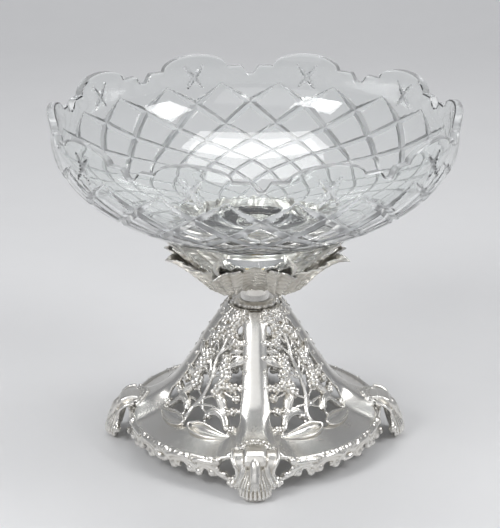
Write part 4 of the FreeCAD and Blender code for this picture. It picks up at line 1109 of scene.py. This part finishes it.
# Scrolls in relief, with their thickness.
SCROLLS = [
    ([(30.0, 12.6), (31.6, 14.6), (34.2, 15.0), (36.4, 13.4), (36.0, 11.6), (34.2, 11.4)], 1.5),
    ([(20.0, 12.2), (21.2, 13.6), (23.0, 13.4), (23.8, 11.8), (22.8, 10.6)], 1.4),
    ([(41.6, 13.0), (43.0, 11.6), (45.0, 11.0)], 1.7),
    ([(17.4, 17.4), (20.0, 17.0), (24.0, 17.2), (28.0, 16.4)], 1.5),
    ([(30.0, 17.2), (34.0, 16.8), (38.0, 16.6), (41.0, 15.0)], 1.5),
]
PEARLS = [(40.6, 17.4, 1.5), (42.6, 17.2, 1.7), (44.9, 17.0, 1.9), (26.8, 13.6, 1.8), (17.2, 16.8, 1.9),
          (39.8, 15.0, 1.6), (9.6, 8.2, 2.1), (13.2, 10.4, 2.2), (16.6, 13.4, 2.0)]


def on_edge(angle, z, out=0.0):
    """Point of the border. Between the brackets the scrolls are drawn a little shorter than beside them."""
    turn = math.radians(angle)
    inner = step01((min(angle, 90.0 - angle) - 15.0) / 4.0)
    z = BAND_TOP[-1][1] - (BAND_TOP[-1][1] - z) * (1.0 - 0.06 * inner)
    return np.array([(EDGE_R + out) * math.cos(turn), (EDGE_R + out) * math.sin(turn), z])


def add_half_border(lump, rng, place):
    """Band, arches, scrolls, pearls and small leaves of half a border. place(angle, z, out) is a point."""

    def rod(line, radii, out, sides, samples):
        lump.tube([place(a, z, out) for a, z in line], radii, sides, samples)

    rings = []
    for angle in np.linspace(8.0, 45.3, 90):
        top, low = np.interp(angle, *zip(*BAND_TOP)), np.interp(angle, *zip(*BAND_LOW))
        mid = 0.5 * (top + low)
        rings.append([place(angle, z, out) for z, out in ((top, -0.6), (top, 0.5), (mid, 0.9), (low, 0.7),
                                                          (low, -0.9), (mid, -0.9))])
    lump.loft(rings)
    for line, size in SCROLLS:
        rod(line, [size, size * 1.15, size], 1.5, 12, 40)
    rod([(a, z + 0.2) for a, z in BAND_TOP], [0.9, 0.9], 0.5, 10, 70)
    rod(SIDE_ARCH, [1.4, 1.9, 2.2, 1.9, 1.6], 0.8, 12, 60)
    for arch in ARCHES + [MIDDLE_ARCH]:
        rod(arch, [1.7, 2.2, 2.4, 2.2, 1.7], 0.8, 12, 60)
    for arch in [SIDE_ARCH] + ARCHES:
        for angle, z in (arch[0], arch[-1]):
            lump.ball(place(angle, z, 1.3), 2.6, rows=8)
    for angle, z, size in PEARLS:
        lump.ball(place(angle, z, 1.0), size)
    for angle in np.arange(17.5, 45.0, 1.15):
        top, low = np.interp(angle, *zip(*BAND_TOP)), max(np.interp(angle, *zip(*BAND_LOW)), 12.0)
        for share in (0.25, 0.7):
            z = low + (top - low) * share + rng.normal(0, 0.35)
            turn = rng.uniform(-0.9, 0.9)
            at = place(angle, z, 0.9)
            side = unit(place(angle + 1.0, z, 0.9) - at)
            a = side * math.cos(turn) + UP * math.sin(turn)
            b = UP * math.cos(turn) - side * math.sin(turn)
            lump.ball(at, 1.05 + 0.35 * rng.random(), squash=(0.8, 1.9, 1.2), axes=[a, b, np.cross(a, b)],
                      rows=6, sides=9)


def make_border():
    lump = Lump()
    rng = np.random.default_rng(11)
    add_half_border(lump, rng, on_edge)
    add_half_border(lump, rng, lambda angle, z, out=0.0: on_edge(90.0 - angle, z, out))
    return lump.mesh("border", 0.42, 2)


add_round("scrolled_border_", make_border(), silver_cast, "border_", CORNERS, -45.0)


# Lips and neck ring

# One petal of a lip, from the rib to the face's middle: shares of the opening's half width and height, and
# lift over the face, along its upper and its lower edge.
PETAL_UP = [(0.84, -0.010, 0.3), (0.76, -0.004, 0.8), (0.66, 0.004, 1.3), (0.54, 0.014, 1.8),
            (0.42, 0.024, 2.3), (0.31, 0.028, 2.6), (0.20, 0.022, 2.7), (0.12, 0.008, 2.5)]
PETAL_LOW = [(0.84, -0.016, 0.3), (0.75, -0.028, 0.5), (0.65, -0.034, 0.8), (0.54, -0.038, 1.0),
             (0.42, -0.040, 1.2), (0.29, -0.038, 1.3), (0.18, -0.032, 1.4), (0.09, -0.018, 1.8)]


def make_lip():
    """Pair of long petals, hollow between raised rims, on the lower edge of one opening."""
    lump = Lump()
    shares, across = np.linspace(0, 1, 40), np.linspace(0, 1, 12)
    for side in (1, -1):
        rings = []
        for a, b in zip(curve_of(PETAL_UP)(shares), curve_of(PETAL_LOW)(shares)):
            top, low = [], []
            for share in across:
                along, h, rise = a + share * (b - a)
                lift = 0.35 + (1 - 2 * share) ** 2 * (rise - 0.35)
                top.append(face_point(side * along, h, lift))
                low.append(face_point(side * along, h, lift - 1.3))
            rings.append(top + low[::-1])
        lump.loft(rings)
        rim = PETAL_UP + [(0.06, -0.006, 2.3)] + PETAL_LOW[::-1]
        lump.tube([face_point(side * a, h, lift) for a, h, lift in rim],
                  [0.45, 0.6, 0.8, 0.85, 0.75, 0.6, 0.4], 12, samples=110)
    return lump.mesh("lip", 0.34, 3)


def make_neck_ring():
    """Ring of uneven beads round the foot of the collar."""
    lump = Lump()
    rng = np.random.default_rng(19)
    section = [(3.4, 87.0), (12.2, 87.0), (13.0, 87.7), (12.6, 89.2), (10.6, 90.2), (3.4, 90.4)]
    m, count = len(section), 96
    verts = [(r * math.cos(turn), r * math.sin(turn), z)
             for turn in np.arange(count) * 2 * math.pi / count for r, z in section]
    faces = [(k * m + i, (k + 1) % count * m + i, (k + 1) % count * m + (i + 1) % m, k * m + (i + 1) % m)
             for k in range(count) for i in range(m)]
    lump.push(verts, faces)
    for i in range(18):
        turn = 2 * math.pi * (i + 0.3 * rng.random()) / 18
        size = 1.35 + 0.75 * rng.random()
        lump.ball((12.3 * math.cos(turn), 12.3 * math.sin(turn), 88.2 + 0.5 * rng.random()), size,
                  squash=(1, 1, 0.85), rows=7, sides=12)
    return lump.mesh("neck_beads", 0.36, 1)


add_round("rolled_lip_", make_lip(), silver, "opening_lip_", CORNERS, -45.0)
add_piece("neck_bead_ring", make_neck_ring(), "stand", silver_cast, ["neck_ring"])


# Kept CAD nodes

KEPT = {"neck_collar": silver, "holder_dish": silver, "centre_rod": brass, "rod_washer": brass,
        "base_nut": brass, "dish_nut": brass, "bowl_pad": felt}
for node, material in KEPT.items():
    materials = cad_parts[node].data.materials
    materials.clear()
    materials.append(material)


# Floor, light and camera

FLOOR_HALF, FLOOR_FRONT, BEND, WALL_TOP = 3.0, -2.6, 0.9, 3.0      # metres
CAMERA_PLACE, LOOK_DOWN, LENS = (-0.0029, -1.015, 0.507), 21.32, 126.1


def floor_material():
    n = Nodes("pale_floor")
    paper = n.noise(18.0, 4.0, 0.6)
    n.set(n.bsdf, "Base Color", n.mix(paper, *PAPER))
    n.fixed(Roughness=0.55)
    return n.mat


def make_floor():
    """Sweep: flat under the object, curving up behind it."""
    line = [(FLOOR_FRONT, 0.0)]
    for turn in np.linspace(0, math.pi / 2, 25):
        line.append((BEND + BEND * math.sin(turn), BEND * (1 - math.cos(turn))))
    line.append((2 * BEND, WALL_TOP))
    verts = [(x / MM, y / MM, z / MM) for y, z in line for x in (-FLOOR_HALF, FLOOR_HALF)]
    faces = [(2 * i, 2 * i + 1, 2 * i + 3, 2 * i + 2) for i in range(len(line) - 1)]
    obj = bpy.data.objects.new("floor_sweep", new_mesh("floor_sweep", verts, faces))
    obj.data.materials.append(floor_material())
    bpy.context.scene.collection.objects.link(obj)


def area_light(name, place, target_z, size_x, size_y, power):
    """Soft lamp that points at a height on the object's axis."""
    lamp = bpy.data.lights.new(name, "AREA")
    lamp.shape = "RECTANGLE"
    lamp.size, lamp.size_y, lamp.energy = size_x, size_y, power
    obj = bpy.data.objects.new(name, lamp)
    obj.location = place
    obj.rotation_mode = "QUATERNION"
    obj.rotation_quaternion = (Vector((0, 0, target_z)) - Vector(place)).to_track_quat("-Z", "Y")
    bpy.context.scene.collection.objects.link(obj)


make_floor()
area_light("softbox_left", (-0.85, -0.75, 1.15), 0.12, 0.55, 0.55, 9.0)
area_light("softbox_right", (0.95, -0.35, 1.05), 0.12, 0.45, 0.6, 7.0)
area_light("softbox_top", (0.0, 0.35, 1.5), 0.1, 0.9, 0.5, 7.0)
area_light("softbox_front", (-0.35, -1.7, 1.25), 0.08, 2.4, 1.6, 8.0)

world = bpy.data.worlds.new("studio")
world.use_nodes = True
background = world.node_tree.nodes["Background"]
background.inputs["Color"].default_value = (0.80, 0.82, 0.86, 1)
background.inputs["Strength"].default_value = 0.36
bpy.context.scene.world = world

camera_data = bpy.data.cameras.new("camera")
camera_data.lens = LENS
camera_data.sensor_width = 36.0
camera_data.sensor_fit = "AUTO"
camera_data.clip_start, camera_data.clip_end = 0.05, 20.0
camera = bpy.data.objects.new("camera", camera_data)
camera.location = CAMERA_PLACE
camera.rotation_euler = (math.radians(90.0 - LOOK_DOWN), 0, 0)
bpy.context.scene.collection.objects.link(camera)
bpy.context.scene.camera = camera
bpy.context.scene.view_settings.view_transform = "Standard"
